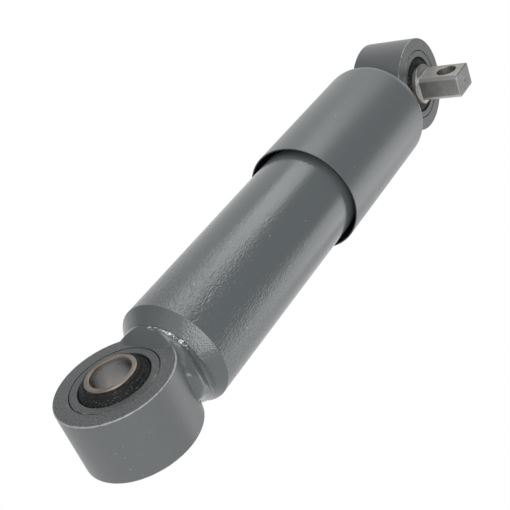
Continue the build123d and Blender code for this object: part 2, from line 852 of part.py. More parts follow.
# Eyes, bush sleeves, rubbers and weld necks, the same set at both ends
ends = (
    ("lower", lower_centre, across_x, upward, lower_blank, lower_rubber_length, 0, [base_cap]),
    (
        "upper",
        upper_centre,
        across_y,
        -upward,
        upper_blank,
        upper_rubber_length,
        upper_weld_trim,
        [dust_cap, piston_rod],
    ),
)
for end, centre, bore_direction, inward, blank, rubber_reach, weld_trim, neighbours in ends:
    bore_plane = Plane(origin=centre, z_dir=bore_direction)
    radial_plane = Plane(
        origin=centre, x_dir=bore_direction, z_dir=bore_direction.cross(upward)
    )
    bore_axis = Axis(centre, bore_direction)

    with BuildPart() as eye:
        add(blank)
        with BuildSketch(bore_plane.offset(-eye_width / 2)):
            Circle(eye_bore_radius)
        extrude(amount=eye_width, mode=Mode.SUBTRACT)
        chamfer(rims(eye, eye_bore_radius), eye_bore_chamfer)
    eye.part.label = f"{end}_eye"
    pieces.append(eye)

    with BuildPart() as bush_sleeve:
        sheet_end = sleeve_half_length - sleeve_wall / 2
        sheet_radius = eye_bore_radius - sleeve_wall / 2
        with BuildSketch(radial_plane):
            with BuildLine():
                FilletPolyline(
                    (-sheet_end, sleeve_lip_radius),
                    (-sheet_end, sheet_radius),
                    (sheet_end, sheet_radius),
                    (sheet_end, sleeve_lip_radius),
                    radius=sleeve_bend_radius,
                )
            trace(line_width=sleeve_wall)
        revolve(axis=bore_axis)
    bush_sleeve.part.label = f"{end}_bush_outer_sleeve"
    pieces.append(bush_sleeve)

    with BuildPart() as bush_rubber:
        lip_inside = sleeve_half_length - sleeve_wall
        rubber_outer = eye_bore_radius - sleeve_wall
        rubber_inner = inner_sleeve_radius + running_gap
        rubber_tip = rubber_inner + rubber_lip_width
        inside_bend = sleeve_bend_radius - sleeve_wall / 2
        with BuildSketch(radial_plane):
            with BuildLine():
                FilletPolyline(
                    (0, rubber_inner),
                    (rubber_reach, rubber_inner),
                    (rubber_reach, rubber_tip),
                    (lip_inside + rubber_shoulder_width, sleeve_lip_radius),
                    (lip_inside, sleeve_lip_radius),
                    (lip_inside, rubber_outer),
                    (0, rubber_outer),
                    radius=[0, 0, rubber_lip_width / 2, 0, 0, inside_bend, 0],
                    close=True,
                )
            make_face()
            mirror(about=Plane.YZ)
        revolve(axis=bore_axis)
    bush_rubber.part.label = f"{end}_bush_rubber"
    pieces.append(bush_rubber)

    with BuildPart() as eye_weld:
        for depth, half_along, half_across, corner in weld_sections(weld_trim):
            level = centre + inward * (eye_outer_radius - depth)
            with BuildSketch(Plane(origin=level, x_dir=bore_direction, z_dir=inward)):
                RectangleRounded(2 * half_along, 2 * half_across, corner)
        loft()
        add(blank, mode=Mode.SUBTRACT)
        with BuildSketch(Plane(origin=centre, x_dir=bore_direction, z_dir=inward)):
            Rectangle(2 * eye_outer_radius, 2 * eye_outer_radius)
            Rectangle(eye_width, 2 * eye_outer_radius, mode=Mode.SUBTRACT)
        extrude(amount=eye_outer_radius - weld_waist_depth, mode=Mode.SUBTRACT)
        for neighbour in neighbours:
            add(neighbour.part, mode=Mode.SUBTRACT)
    eye_weld.part.label = f"{end}_eye_weld"
    pieces.append(eye_weld)

# Forged bar pin: a round bar with a flat tang at each end, drilled for a bolt
with BuildPart() as bar_pin:
    pin_axis = Axis(upper_centre, across_y)
    half_pin = pin_length / 2
    clear = pin_radius + 1
    ramp_end = pin_round_length + pin_ramp_length
    with BuildSketch(Plane(origin=upper_centre, z_dir=across_y)):
        Circle(pin_radius)
    extrude(amount=half_pin, both=True)
    for side_normal, half_size in ((upward, tang_thickness / 2), (across_x, tang_width / 2)):
        with BuildSketch(Plane(origin=upper_centre, x_dir=across_y, z_dir=side_normal)):
            with BuildLine():
                Polyline(
                    (pin_round_length, clear),
                    (ramp_end, half_size),
                    (half_pin + 1, half_size),
                    (half_pin + 1, clear),
                    close=True,
                )
            make_face()
            mirror(about=Plane.YZ)
            mirror(about=Plane.XZ)
        extrude(amount=clear, both=True, mode=Mode.SUBTRACT)
    with BuildSketch(Plane(origin=upper_centre, x_dir=across_y, z_dir=across_x)):
        with BuildLine():
            Polyline(
                (pin_round_length, clear),
                (ramp_end, tang_root_radius),
                (half_pin + 1, tang_tip_radius),
                (half_pin + 1, clear),
                close=True,
            )
        make_face()
        mirror(about=Plane.YZ)
    revolve(axis=pin_axis, mode=Mode.SUBTRACT)
    end_faces = bar_pin.faces().sort_by(Axis.Y)
    chamfer(end_faces[0].edges() + end_faces[-1].edges(), tang_edge_chamfer)
    hole_start = upper_centre - across_x * pin_radius
    with BuildSketch(Plane(origin=hole_start, x_dir=across_y, z_dir=across_x)):
        with Locations((-pin_hole_spacing / 2, 0), (pin_hole_spacing / 2, 0)):
            Circle(pin_hole_radius)
    extrude(amount=2 * pin_radius, mode=Mode.SUBTRACT)
    chamfer(rims(bar_pin, pin_hole_radius), pin_hole_chamfer)
    with BuildSketch(Plane(origin=upper_centre, x_dir=across_y, z_dir=across_x)):
        with BuildLine():
            Polyline(
                (half_pin, 0),
                (half_pin, centre_mark_radius),
                (half_pin - centre_mark_radius, 0),
                close=True,
            )
        make_face()
        mirror(about=Plane.YZ)
    revolve(axis=pin_axis, mode=Mode.SUBTRACT)
bar_pin.part.label = "bar_pin"
pieces.append(bar_pin)

os.makedirs("parts", exist_ok=True)
for piece in pieces:
    export_step(piece.part, f"parts/{piece.part.label}.step")
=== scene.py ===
"""Studio scene of a twin-tube shock absorber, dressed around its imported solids.

Everything is in metres, in the frame of the solids: the origin is the centre of the
lower eye, Z runs along the damper to the upper eye, X along the lower bore and Y
along the bar pin. Turned pieces are made from outlines of named sizes, the welds and
the forged pin are remeshed and shaped, and the works inside keep their own solids.
"""
from __future__ import annotations

import json
import logging
import math
from dataclasses import dataclass, field
from enum import Enum

import bmesh
import bpy
from mathutils import Matrix, Vector, noise

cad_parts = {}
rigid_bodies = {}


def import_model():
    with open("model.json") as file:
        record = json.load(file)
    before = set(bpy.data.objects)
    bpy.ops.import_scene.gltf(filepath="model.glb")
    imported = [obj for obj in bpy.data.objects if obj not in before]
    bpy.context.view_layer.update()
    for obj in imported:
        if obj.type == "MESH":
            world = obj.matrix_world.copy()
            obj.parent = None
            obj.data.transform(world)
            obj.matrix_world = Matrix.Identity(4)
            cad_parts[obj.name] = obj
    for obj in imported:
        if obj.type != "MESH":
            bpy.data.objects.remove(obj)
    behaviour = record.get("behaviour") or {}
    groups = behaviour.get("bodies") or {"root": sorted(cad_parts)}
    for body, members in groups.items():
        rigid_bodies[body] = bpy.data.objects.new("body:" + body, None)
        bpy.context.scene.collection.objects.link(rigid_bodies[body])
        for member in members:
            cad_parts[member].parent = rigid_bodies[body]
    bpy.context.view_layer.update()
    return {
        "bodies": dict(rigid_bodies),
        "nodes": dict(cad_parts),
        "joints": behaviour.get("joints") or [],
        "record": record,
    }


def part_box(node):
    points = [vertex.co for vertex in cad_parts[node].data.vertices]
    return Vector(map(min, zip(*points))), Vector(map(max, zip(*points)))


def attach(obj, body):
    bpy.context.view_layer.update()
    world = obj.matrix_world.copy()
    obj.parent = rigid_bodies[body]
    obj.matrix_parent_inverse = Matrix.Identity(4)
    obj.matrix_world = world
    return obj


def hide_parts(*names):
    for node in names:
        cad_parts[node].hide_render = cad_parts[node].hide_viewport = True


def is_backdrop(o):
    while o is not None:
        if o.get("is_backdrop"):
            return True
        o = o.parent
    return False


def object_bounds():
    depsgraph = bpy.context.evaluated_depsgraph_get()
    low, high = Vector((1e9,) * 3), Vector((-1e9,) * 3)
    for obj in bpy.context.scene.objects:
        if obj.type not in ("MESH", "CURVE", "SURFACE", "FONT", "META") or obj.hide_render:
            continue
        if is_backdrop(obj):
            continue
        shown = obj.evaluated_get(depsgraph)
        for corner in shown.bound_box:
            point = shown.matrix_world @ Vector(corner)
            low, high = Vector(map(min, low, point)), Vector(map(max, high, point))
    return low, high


MM = 0.001
LOG = logging.getLogger("shock_absorber")
WEAR_AND_GLINT_ATTRIBUTE = "wear"
CUT_AND_SHADE_ATTRIBUTE = "cut"
GRAIN_BAND = (0.3, 0.7)

Socket = bpy.types.NodeSocket
Feed = "Socket | float | tuple[float, ...]"
Band = tuple[float, float]


class Bore(Enum):
    """The direction that a turned piece is turned about, as an axis of the frame."""

    X = (1.0, 0.0, 0.0)
    Y = (0.0, 1.0, 0.0)
    Z = (0.0, 0.0, 1.0)

    @property
    def along(self) -> Vector:
        """The unit vector of the axis."""
        return Vector(self.value)

    @property
    def first(self) -> Vector:
        """The first unit vector across the axis."""
        return Vector((self.value[2], self.value[0], self.value[1]))

    @property
    def second(self) -> Vector:
        """The second unit vector across the axis."""
        return Vector((self.value[1], self.value[2], self.value[0]))


class Graph:
    """A shader node tree that is being built, with short ways to add and join nodes."""

    def __init__(self, tree: bpy.types.NodeTree) -> None:
        """Keeps the tree that the nodes go into.

        Args:
            tree: The tree of a material, a world or a node group.
        """
        self.tree = tree

    def add(self, kind: str, **settings: object) -> bpy.types.Node:
        """Adds one node.

        Args:
            kind: The node's type name without the word ShaderNode.
            settings: Values for the node's own properties.

        Returns:
            The new node.
        """
        node = self.tree.nodes.new("ShaderNode" + kind)
        for name, value in settings.items():
            setattr(node, name, value)
        return node

    def feed(self, node: bpy.types.Node, **sources: object) -> bpy.types.Node:
        """Links or sets inputs, named with underscores in place of spaces.

        Args:
            node: The node whose inputs are fed.
            sources: A socket to link or a plain value for each input.

        Returns:
            The same node.
        """
        for name, source in sources.items():
            target = node.inputs[name.replace("_", " ")]
            if isinstance(source, bpy.types.NodeSocket):
                self.tree.links.new(source, target)
            else:
                target.default_value = source
        return node

    def math(self, operation: str, first: Feed, second: Feed = 0.0) -> Socket:
        """Adds a math node.

        Args:
            operation: The name of the operation, such as ADD.
            first: The first operand.
            second: The second operand.

        Returns:
            The result's socket.
        """
        node = self.add("Math", operation=operation)
        for target, source in zip(node.inputs, (first, second)):
            if isinstance(source, bpy.types.NodeSocket):
                self.tree.links.new(source, target)
            else:
                target.default_value = source
        return node.outputs[0]

    def spread(self, value: Feed, low: float, high: float, start: Feed = 0.0, end: Feed = 1.0) -> Socket:
        """Maps a range of values smoothly onto another, held at both ends.

        Args:
            value: The value to map.
            low: The value that gives start.
            high: The value that gives end.
            start: The result at and below low.
            end: The result at and above high.

        Returns:
            The mapped value's socket.
        """
        node = self.add("MapRange", interpolation_type="SMOOTHSTEP")
        self.feed(node, Value=value, From_Min=low, From_Max=high, To_Min=start, To_Max=end)
        return node.outputs["Result"]

    def blend(self, factor: Feed, first: Feed, second: Feed) -> Socket:
        """Mixes two colours.

        Args:
            factor: The share of the second colour.
            first: The first colour.
            second: The second colour.

        Returns:
            The mixed colour's socket.
        """
        node = self.add("Mix", data_type="RGBA", clamp_factor=True)
        for index, source in ((0, factor), (6, first), (7, second)):
            if isinstance(source, bpy.types.NodeSocket):
                self.tree.links.new(source, node.inputs[index])
            else:
                node.inputs[index].default_value = source
        return node.outputs[2]

    def noise(self, vector: Socket, scale: Feed, detail: float = 2.0, roughness: float = 0.5) -> Socket:
        """Adds a noise texture.

        Args:
            vector: The coordinates.
            scale: Waves in a metre.
            detail: How many finer layers are added.
            roughness: How strong the finer layers are.

        Returns:
            The value's socket, from 0 to 1 about a half.
        """
        node = self.add("TexNoise")
        self.feed(node, Vector=vector, Scale=scale, Detail=detail, Roughness=roughness)
        return node.outputs[0]

    def place(self, group: bpy.types.NodeTree, **sources: object) -> bpy.types.Node:
        """Places a node group and feeds its inputs.

        Args:
            group: The group's tree.
            sources: Sockets or values for its inputs, as for feed.

        Returns:
            The group's node.
        """
        node = self.add("Group", node_tree=group)
        return self.feed(node, **sources)


class GroupGraph(Graph):
    """A node group with named inputs and outputs."""

    KINDS = {"float": "NodeSocketFloat", "vector": "NodeSocketVector"}

    def __init__(self, name: str, inputs: dict[str, float | str], outputs: tuple[str, ...]) -> None:
        """Makes the group and its sockets.

        Args:
            name: The group's name.
            inputs: A default value for each float input, or the word vector.
            outputs: The names of the float outputs.
        """
        tree = bpy.data.node_groups.new(name, "ShaderNodeTree")
        super().__init__(tree)
        for label, default in inputs.items():
            kind = default if isinstance(default, str) else "float"
            socket = tree.interface.new_socket(label, in_out="INPUT", socket_type=self.KINDS[kind])
            if kind == "float":
                socket.default_value = default
        for label in outputs:
            tree.interface.new_socket(label, in_out="OUTPUT", socket_type=self.KINDS["float"])
        self.entry = tree.nodes.new("NodeGroupInput")
        self.exit = tree.nodes.new("NodeGroupOutput")

    def get(self, label: str) -> Socket:
        """The socket that brings one named input in."""
        return self.entry.outputs[label]

    def put(self, label: str, value: Socket) -> None:
        """Sends a value out through one named output."""
        self.tree.links.new(value, self.exit.inputs[label])


class Effects:
    """The node groups that more than one finish uses, each one built once."""

    SWELL_SCALE = 0.31
    SLOW_WEAR_AND_GLINT_SCALE = 0.12
    FINE_WEAR_AND_GLINT_SHARE = 0.6
    WORN_AND_GLINT_BAND = (0.45, 0.75)
    UNTOUCHED = 0.02

    def __init__(self) -> None:
        """Builds every group."""
        self.peel = self._peel()
        self.grain = self._grain()
        self.specks = self._specks()
        self.wear = self._wear_and_glint()

    def _peel(self) -> bpy.types.NodeTree:
        """The sagging skin of sprayed paint: shallow rounded cells of uneven size.

        Returns:
            The group's tree, which puts out Height.
        """
        inputs = {"Vector": "vector", "Scale": 700.0, "Unevenness": 0.5}
        graph = GroupGraph("orange_peel", inputs, ("Height",))
        vector, scale = graph.get("Vector"), graph.get("Scale")
        cells = graph.noise(vector, scale, 1.0, 0.45)
        coarse = graph.noise(vector, graph.math("MULTIPLY", scale, self.SWELL_SCALE), 1.0)
        swell = graph.math("MULTIPLY", graph.math("SUBTRACT", coarse, 0.5), graph.get("Unevenness"))
        graph.put("Height", graph.math("ADD", cells, swell))
        return graph.tree

    def _grain(self) -> bpy.types.NodeTree:
        """Fine random grain, as a height and as a shade that varies about one.

        Returns:
            The group's tree, which puts out Height and Shade.
        """
        inputs = {"Vector": "vector", "Scale": 2500.0, "Contrast": 0.2}
        graph = GroupGraph("fine_grain", inputs, ("Height", "Shade"))
        grain = graph.noise(graph.get("Vector"), graph.get("Scale"), 3.0, 0.6)
        swing = graph.math("MULTIPLY", graph.math("SUBTRACT", grain, 0.5), graph.get("Contrast"))
        graph.put("Height", grain)
        graph.put("Shade", graph.math("ADD", swing, 1.0))
        return graph.tree

    def _specks(self) -> bpy.types.NodeTree:
        """Tiny scattered specks, such as dust caught in paint.

        Returns:
            The group's tree, which puts out Mask.
        """
        inputs = {"Vector": "vector", "Spacing": 220.0, "Size": 0.06, "Share": 0.2}
        graph = GroupGraph("specks", inputs, ("Mask",))
        cells = graph.add("TexVoronoi")
        graph.feed(cells, Vector=graph.get("Vector"), Scale=graph.get("Spacing"))
        dot = graph.math("LESS_THAN", cells.outputs["Distance"], graph.get("Size"))
        parts = graph.add("SeparateColor")
        graph.feed(parts, Color=cells.outputs["Color"])
        chosen = graph.math("LESS_THAN", parts.outputs[0], graph.get("Share"))
        graph.put("Mask", graph.math("MULTIPLY", dot, chosen))
        return graph.tree

    def _wear_and_glint(self) -> bpy.types.NodeTree:
        """Wear along marked edges, broken up so that it comes and goes. The same mask lays pale painted
        highlights on edge roundings and painted glints on the weld crest.

        Returns:
            The group's tree, which puts out Mask.
        """
        inputs = {"Vector": "vector", "Edge": 0.0, "Scale": 300.0, "Breakup": 1.0, "Amount": 1.0}
        graph = GroupGraph("edge_wear_and_highlight", inputs, ("Mask",))
        fine = graph.noise(graph.get("Vector"), graph.get("Scale"), 3.0, 0.6)
        slow_scale = graph.math("MULTIPLY", graph.get("Scale"), self.SLOW_WEAR_AND_GLINT_SCALE)
        slow = graph.noise(graph.get("Vector"), slow_scale, 1.0)
        fine_part = graph.math("MULTIPLY", fine, self.FINE_WEAR_AND_GLINT_SHARE)
        both = graph.math("ADD", fine_part, graph.math("MULTIPLY", slow, 1.0 - self.FINE_WEAR_AND_GLINT_SHARE))
        broken = graph.math("MULTIPLY", graph.math("SUBTRACT", both, 0.5), graph.get("Breakup"))
        sharp = graph.spread(graph.math("ADD", graph.get("Edge"), broken), *self.WORN_AND_GLINT_BAND)
        marked = graph.math("GREATER_THAN", graph.get("Edge"), self.UNTOUCHED)
        touched = graph.math("MULTIPLY", sharp, marked)
        graph.put("Mask", graph.math("MULTIPLY", touched, graph.get("Amount")))
        return graph.tree


def grey(level: float) -> tuple[float, float, float, float]:
    """An opaque grey of one linear level."""
    return (level, level, level, 1.0)


def colour(red: float, green: float, blue: float) -> tuple[float, float, float, float]:
    """An opaque colour of three linear levels."""
    return (red, green, blue, 1.0)


@dataclass(frozen=True)
class Finish:
    """What every finish has: its name and the record's material slot it belongs to."""

    name: str
    slot: str

    def material(self, effects: Effects) -> bpy.types.Material:
        """The finish's material, built when it is first asked for.

        Args:
            effects: The shared node groups.

        Returns:
            The material.
        """
        made = bpy.data.materials.get(self.name)
        if made is None:
            made = bpy.data.materials.new(self.name)
            made.use_nodes = True
            graph = Graph(made.node_tree)
            shader = made.node_tree.nodes["Principled BSDF"]
            vector = graph.add("TexCoord").outputs["Object"]
            self.dress(graph, shader, vector, effects)
        return made

    def dress(self, graph: Graph, shader: bpy.types.Node, vector: Socket, effects: Effects) -> None:
        """Feeds the shader. Each kind of finish does this its own way.

        Args:
            graph: The material's tree.
            shader: Its Principled BSDF.
            vector: Coordinates in the frame, in metres.
            effects: The shared node groups.
        """
        raise NotImplementedError

    @staticmethod
    def bump(graph: Graph, height: Feed, depth: float, under: Socket | None = None) -> Socket:
        """Turns a height into a normal.

        Args:
            graph: The material's tree.
            height: The height, about 0 to 1.
            depth: How deep a height of 1 is, in metres.
            under: The normal to start from, if there is one.

        Returns:
            The normal's socket.
        """
        node = graph.add("Bump")
        node.inputs["Distance"].default_value = depth
        graph.feed(node, Height=height)
        if under is not None:
            graph.feed(node, Normal=under)
        return node.outputs["Normal"]


@dataclass(frozen=True)
class Paint(Finish):
    """Semi-gloss sprayed paint with orange peel, fine grain and specks, pale marks that are partly edge wear
    and partly painted highlights and glints, and darker marked faces, which on the dust cover's inside are
    painted shade.
    """

    shade: tuple[float, float, float, float] = colour(0.086, 0.0945, 0.0975)
    # Pale colour for specks, edge wear and painted highlights and glints.
    worn_and_glint: tuple[float, float, float, float] = colour(0.36, 0.37, 0.37)
    roughness: float = 0.2
    specular: float = 0.5
    peel_scale: float = 700.0
    peel_stretch: tuple[float, float, float] = (1.0, 1.0, 0.45)
    peel_depth: float = 0.02 * MM
    peel_start: float = 0.0
    peel_end: float = 1.0
    peel_far: float = 1.0
    grain_scale: float = 2600.0
    grain_depth: float = 0.006 * MM
    grain_contrast: float = 0.25
    cut_contrast: float = 3.0
    cut_face_and_painted_shade: float = 0.8
    cut_depth: float = 0.09 * MM
    speck_size: float = 0.075
    speck_share: float = 0.1
    wear_and_glint_amount: float = 0.0
    wear_and_glint_breakup: float = 1.0
    wear_and_glint_scale: float = 300.0

    def dress(self, graph: Graph, shader: bpy.types.Node, vector: Socket, effects: Effects) -> None:
        """Feeds the paint's colour, roughness and normal.

        Args:
            graph: The material's tree.
            shader: Its Principled BSDF.
            vector: Coordinates in the frame, in metres.
            effects: The shared node groups.
        """
        cut = graph.add("Attribute", attribute_name=CUT_AND_SHADE_ATTRIBUTE).outputs["Fac"]
        contrast = graph.spread(cut, 0.0, 1.0, self.grain_contrast, self.cut_contrast)
        grain = graph.place(effects.grain, Vector=vector, Scale=self.grain_scale, Contrast=contrast)
        specks = graph.place(effects.specks, Vector=vector, Size=self.speck_size, Share=self.speck_share)
        # Pale marks from the wear attribute: real edge wear, painted highlights on edge roundings and painted
        # glints on the weld crest.
        edge = graph.add("Attribute", attribute_name=WEAR_AND_GLINT_ATTRIBUTE).outputs["Fac"]
        wear = graph.place(
            effects.wear, Vector=vector, Edge=edge, Scale=self.wear_and_glint_scale,
            Breakup=self.wear_and_glint_breakup, Amount=self.wear_and_glint_amount,
        )
        drawn = graph.add("VectorMath", operation="MULTIPLY")
        drawn.inputs[1].default_value = self.peel_stretch
        graph.tree.links.new(vector, drawn.inputs[0])
        peel = graph.place(effects.peel, Vector=drawn.outputs[0], Scale=self.peel_scale)
        toned = graph.add("VectorMath", operation="SCALE")
        toned.inputs[0].default_value = self.shade[:3]
        # Marked faces are darkened: the cut faces of eyes and sleeves, and on the dust cover the inside wall
        # and rim end, which is painted shade.
        deeper = graph.spread(cut, 0.0, 1.0, 1.0, self.cut_face_and_painted_shade)
        graph.feed(toned, Scale=graph.math("MULTIPLY", grain.outputs["Shade"], deeper))
        marked = graph.math("MAXIMUM", specks.outputs["Mask"], wear.outputs["Mask"])
        graph.feed(shader, Base_Color=graph.blend(marked, toned.outputs[0], self.worn_and_glint))
        graph.feed(shader, Roughness=self.roughness)
        shader.inputs["Specular IOR Level"].default_value = self.specular
        height = graph.add("SeparateXYZ")
        graph.feed(height, Vector=vector)
        fade = graph.spread(height.outputs["Z"], self.peel_start, self.peel_end, 1.0, self.peel_far)
        peeled = graph.math("MULTIPLY", peel.outputs["Height"], fade)
        normal = self.bump(graph, peeled, self.peel_depth)
        lift = graph.spread(cut, 0.0, 1.0, 1.0, self.cut_depth / self.grain_depth)
        raised = graph.math("MULTIPLY", grain.outputs["Height"], lift)
        normal = self.bump(graph, raised, self.grain_depth, normal)
        graph.feed(shader, Normal=normal)


@dataclass(frozen=True)
class Rubber(Finish):
    """Matt black moulded rubber with pale specks of bloom."""

    shade: tuple[float, float, float, float] = grey(0.007)
    bloom: tuple[float, float, float, float] = grey(0.3)
    smoothest: float = 0.5
    roughest: float = 0.75
    specular: float = 0.22
    grain_scale: float = 2200.0
    grain_depth: float = 0.03 * MM
    grain_contrast: float = 0.6
    bloom_spacing: float = 1500.0
    bloom_size: float = 0.28
    bloom_share: float = 0.2
    bloom_strength: float = 0.5

    def dress(self, graph: Graph, shader: bpy.types.Node, vector: Socket, effects: Effects) -> None:
        """Feeds the rubber's colour, roughness and normal.

        Args:
            graph: The material's tree.
            shader: Its Principled BSDF.
            vector: Coordinates in the frame, in metres.
            effects: The shared node groups.
        """
        grain = graph.place(
            effects.grain, Vector=vector, Scale=self.grain_scale, Contrast=self.grain_contrast
        )
        specks = graph.place(
            effects.specks, Vector=vector, Spacing=self.bloom_spacing,
            Size=self.bloom_size, Share=self.bloom_share,
        )
        toned = graph.add("VectorMath", operation="SCALE")
        toned.inputs[0].default_value = self.shade[:3]
        graph.feed(toned, Scale=grain.outputs["Shade"])
        bloomed = graph.math("MULTIPLY", specks.outputs["Mask"], self.bloom_strength)
        graph.feed(shader, Base_Color=graph.blend(bloomed, toned.outputs[0], self.bloom))
        rough = graph.spread(grain.outputs["Height"], *GRAIN_BAND, self.smoothest, self.roughest)
        graph.feed(shader, Roughness=rough)
        graph.feed(shader, Normal=self.bump(graph, grain.outputs["Height"], self.grain_depth))
        shader.inputs["Specular IOR Level"].default_value = self.specular


@dataclass(frozen=True)
class Metal(Finish):
    """Bare or plated steel whose tint wanders and whose grain can be stretched.

    Where the wear attribute is 1 the steel is polished instead, with faint heat colours,
    and where the cut attribute is 1 it is darker and dull.
    """

    shade: tuple[float, float, float, float] = grey(0.4)
    tint: tuple[float, float, float, float] = grey(0.3)
    polish: tuple[float, float, float, float] = colour(0.64, 0.66, 0.70)
    straw: tuple[float, float, float, float] = colour(0.64, 0.61, 0.57)
    dark_tone: tuple[float, float, float, float] = colour(0.055, 0.05, 0.045)
    straw_scale: float = 110.0
    polish_share: float = 0.5
    tint_scale: float = 60.0
    tint_band: Band = (0.38, 0.62)
    roughness: float = 0.32
    rough_swing: float = 0.2
    metallic: float = 1.0
    grain_scale: float = 1800.0
    grain_depth: float = 0.006 * MM
    grain_contrast: float = 0.35
    stretch: tuple[float, float, float] = (1.0, 1.0, 1.0)

    def dress(self, graph: Graph, shader: bpy.types.Node, vector: Socket, effects: Effects) -> None:
        """Feeds the metal's colour, roughness and normal.

        Args:
            graph: The material's tree.
            shader: Its Principled BSDF.
            vector: Coordinates in the frame, in metres.
            effects: The shared node groups.
        """
        shader.inputs["Metallic"].default_value = self.metallic
        drawn = graph.add("VectorMath", operation="MULTIPLY")
        drawn.inputs[1].default_value = self.stretch
        graph.tree.links.new(vector, drawn.inputs[0])
        grain = graph.place(
            effects.grain, Vector=drawn.outputs[0], Scale=self.grain_scale,
            Contrast=self.grain_contrast,
        )
        cloud = graph.noise(vector, self.tint_scale, 3.0, 0.6)
        tinted = graph.blend(graph.spread(cloud, *self.tint_band), self.shade, self.tint)
        toned = graph.add("VectorMath", operation="SCALE")
        graph.tree.links.new(tinted, toned.inputs[0])
        graph.feed(toned, Scale=grain.outputs["Shade"])
        heat = graph.noise(vector, self.straw_scale, 1.0)
        polished = graph.blend(graph.spread(heat, *GRAIN_BAND), self.polish, self.straw)
        rubbed = graph.add("Attribute", attribute_name=WEAR_AND_GLINT_ATTRIBUTE).outputs["Fac"]
        dulled = graph.add("Attribute", attribute_name=CUT_AND_SHADE_ATTRIBUTE).outputs["Fac"]
        bright = graph.blend(rubbed, toned.outputs[0], polished)
        graph.feed(shader, Base_Color=graph.blend(dulled, bright, self.dark_tone))
        least, most = self.roughness * (1 - self.rough_swing), self.roughness * (1 + self.rough_swing)
        rough = graph.spread(grain.outputs["Height"], *GRAIN_BAND, least, most)
        rest = graph.math("SUBTRACT", 1.0, rubbed)
        smooth = graph.math("MULTIPLY", rubbed, self.roughness * self.polish_share)
        graph.feed(shader, Roughness=graph.math("ADD", graph.math("MULTIPLY", rough, rest), smooth))
        raised = graph.math("MULTIPLY", grain.outputs["Height"], rest)
        graph.feed(shader, Normal=self.bump(graph, raised, self.grain_depth))


@dataclass(frozen=True)
class Finishes:
    """Every finish on the shock absorber."""

    reservoir: Paint = Paint(
        "reservoir_paint", "body_paint", peel_scale=1100.0, peel_depth=0.35 * MM,
        peel_start=0.05, peel_end=0.17, peel_far=0.25,
    )
    cap: Paint = Paint("cap_paint", "body_paint", peel_scale=1000.0, peel_depth=0.13 * MM)
    # Cover paint: the marked inside wall and rim end are darkened, which is painted shade.
    cover: Paint = Paint(
        "cover_paint", "body_paint", peel_scale=1100.0, peel_depth=0.06 * MM, grain_scale=1500.0,
        grain_depth=0.008 * MM, roughness=0.3, cut_contrast=0.3, cut_face_and_painted_shade=0.45, cut_depth=0.008 * MM,
    )
    # Eye paint: a more neutral grey than the tube's, and lighter, which is painted light on the eyes; its
    # pale edge wear is partly painted highlight.
    eye: Paint = Paint(
        "eye_paint_lightened", "body_paint", shade=colour(0.100, 0.105, 0.107), worn_and_glint=grey(0.27),
        roughness=0.34, specular=0.36, cut_contrast=3.6, cut_face_and_painted_shade=0.76,
        peel_depth=0.012 * MM, grain_scale=1100.0, speck_share=0.8, wear_and_glint_amount=1.0, wear_and_glint_breakup=2.8,
        wear_and_glint_scale=420.0,
    )
    # Sleeve paint: its pale edge wear is partly painted highlight.
    sleeve: Paint = Paint(
        "sleeve_paint", "body_paint", shade=colour(0.084, 0.089, 0.090), roughness=0.34, specular=0.36,
        peel_depth=0.0, grain_scale=1100.0, wear_and_glint_amount=0.6, wear_and_glint_breakup=2.6,
    )
    # Weld paint: the near-white marks along the crest are painted glints.
    weld: Paint = Paint(
        "weld_paint_with_glints", "body_paint", worn_and_glint=grey(0.85), peel_depth=0.06 * MM, roughness=0.2,
        wear_and_glint_amount=1.0, wear_and_glint_breakup=5.0, wear_and_glint_scale=1300.0,
    )
    rubber: Rubber = Rubber("moulded_rubber", "rubber")
    clamp_sleeve: Metal = Metal(
        "turned_sleeve_steel", "sleeve_steel", shade=colour(0.30, 0.265, 0.235),
        tint=colour(0.22, 0.19, 0.165), roughness=0.5, grain_depth=0.02 * MM,
    )
    pin: Metal = Metal(
        "forged_pin_steel", "pin_steel", shade=colour(0.345, 0.36, 0.36), tint=colour(0.29, 0.285, 0.27),
        polish=colour(0.46, 0.43, 0.37), straw=colour(0.46, 0.48, 0.50), straw_scale=70.0, polish_share=0.9,
        roughness=0.52, grain_scale=1200.0, grain_depth=0.02 * MM,
    )
    chrome: Metal = Metal(
        "rod_chrome", "rod_chrome", shade=colour(0.68, 0.69, 0.71), tint=grey(0.6), roughness=0.12,
        stretch=(1.0, 1.0, 0.05),
    )
    plain: Metal = Metal("plain_steel", "plain_steel", shade=grey(0.42), tint=grey(0.32), roughness=0.3)
    sintered: Metal = Metal(
        "sintered_iron", "sintered_iron", shade=grey(0.19), tint=grey(0.14), roughness=0.55,
        grain_depth=0.02 * MM,
    )
    plastic: Metal = Metal(
        "band_plastic", "band_plastic", shade=colour(0.045, 0.065, 0.055), tint=colour(0.035, 0.05, 0.045),
        roughness=0.45, metallic=0.0,
    )


@dataclass(frozen=True)
class Corner:
    """A corner of a turned outline: its place, how round it is and how much pale wear it gets, which on the
    eyes and sleeves is partly painted highlight.
    """

    radius: float
    along: float
    rounding: float = 0.0
    wear: float = 0.0


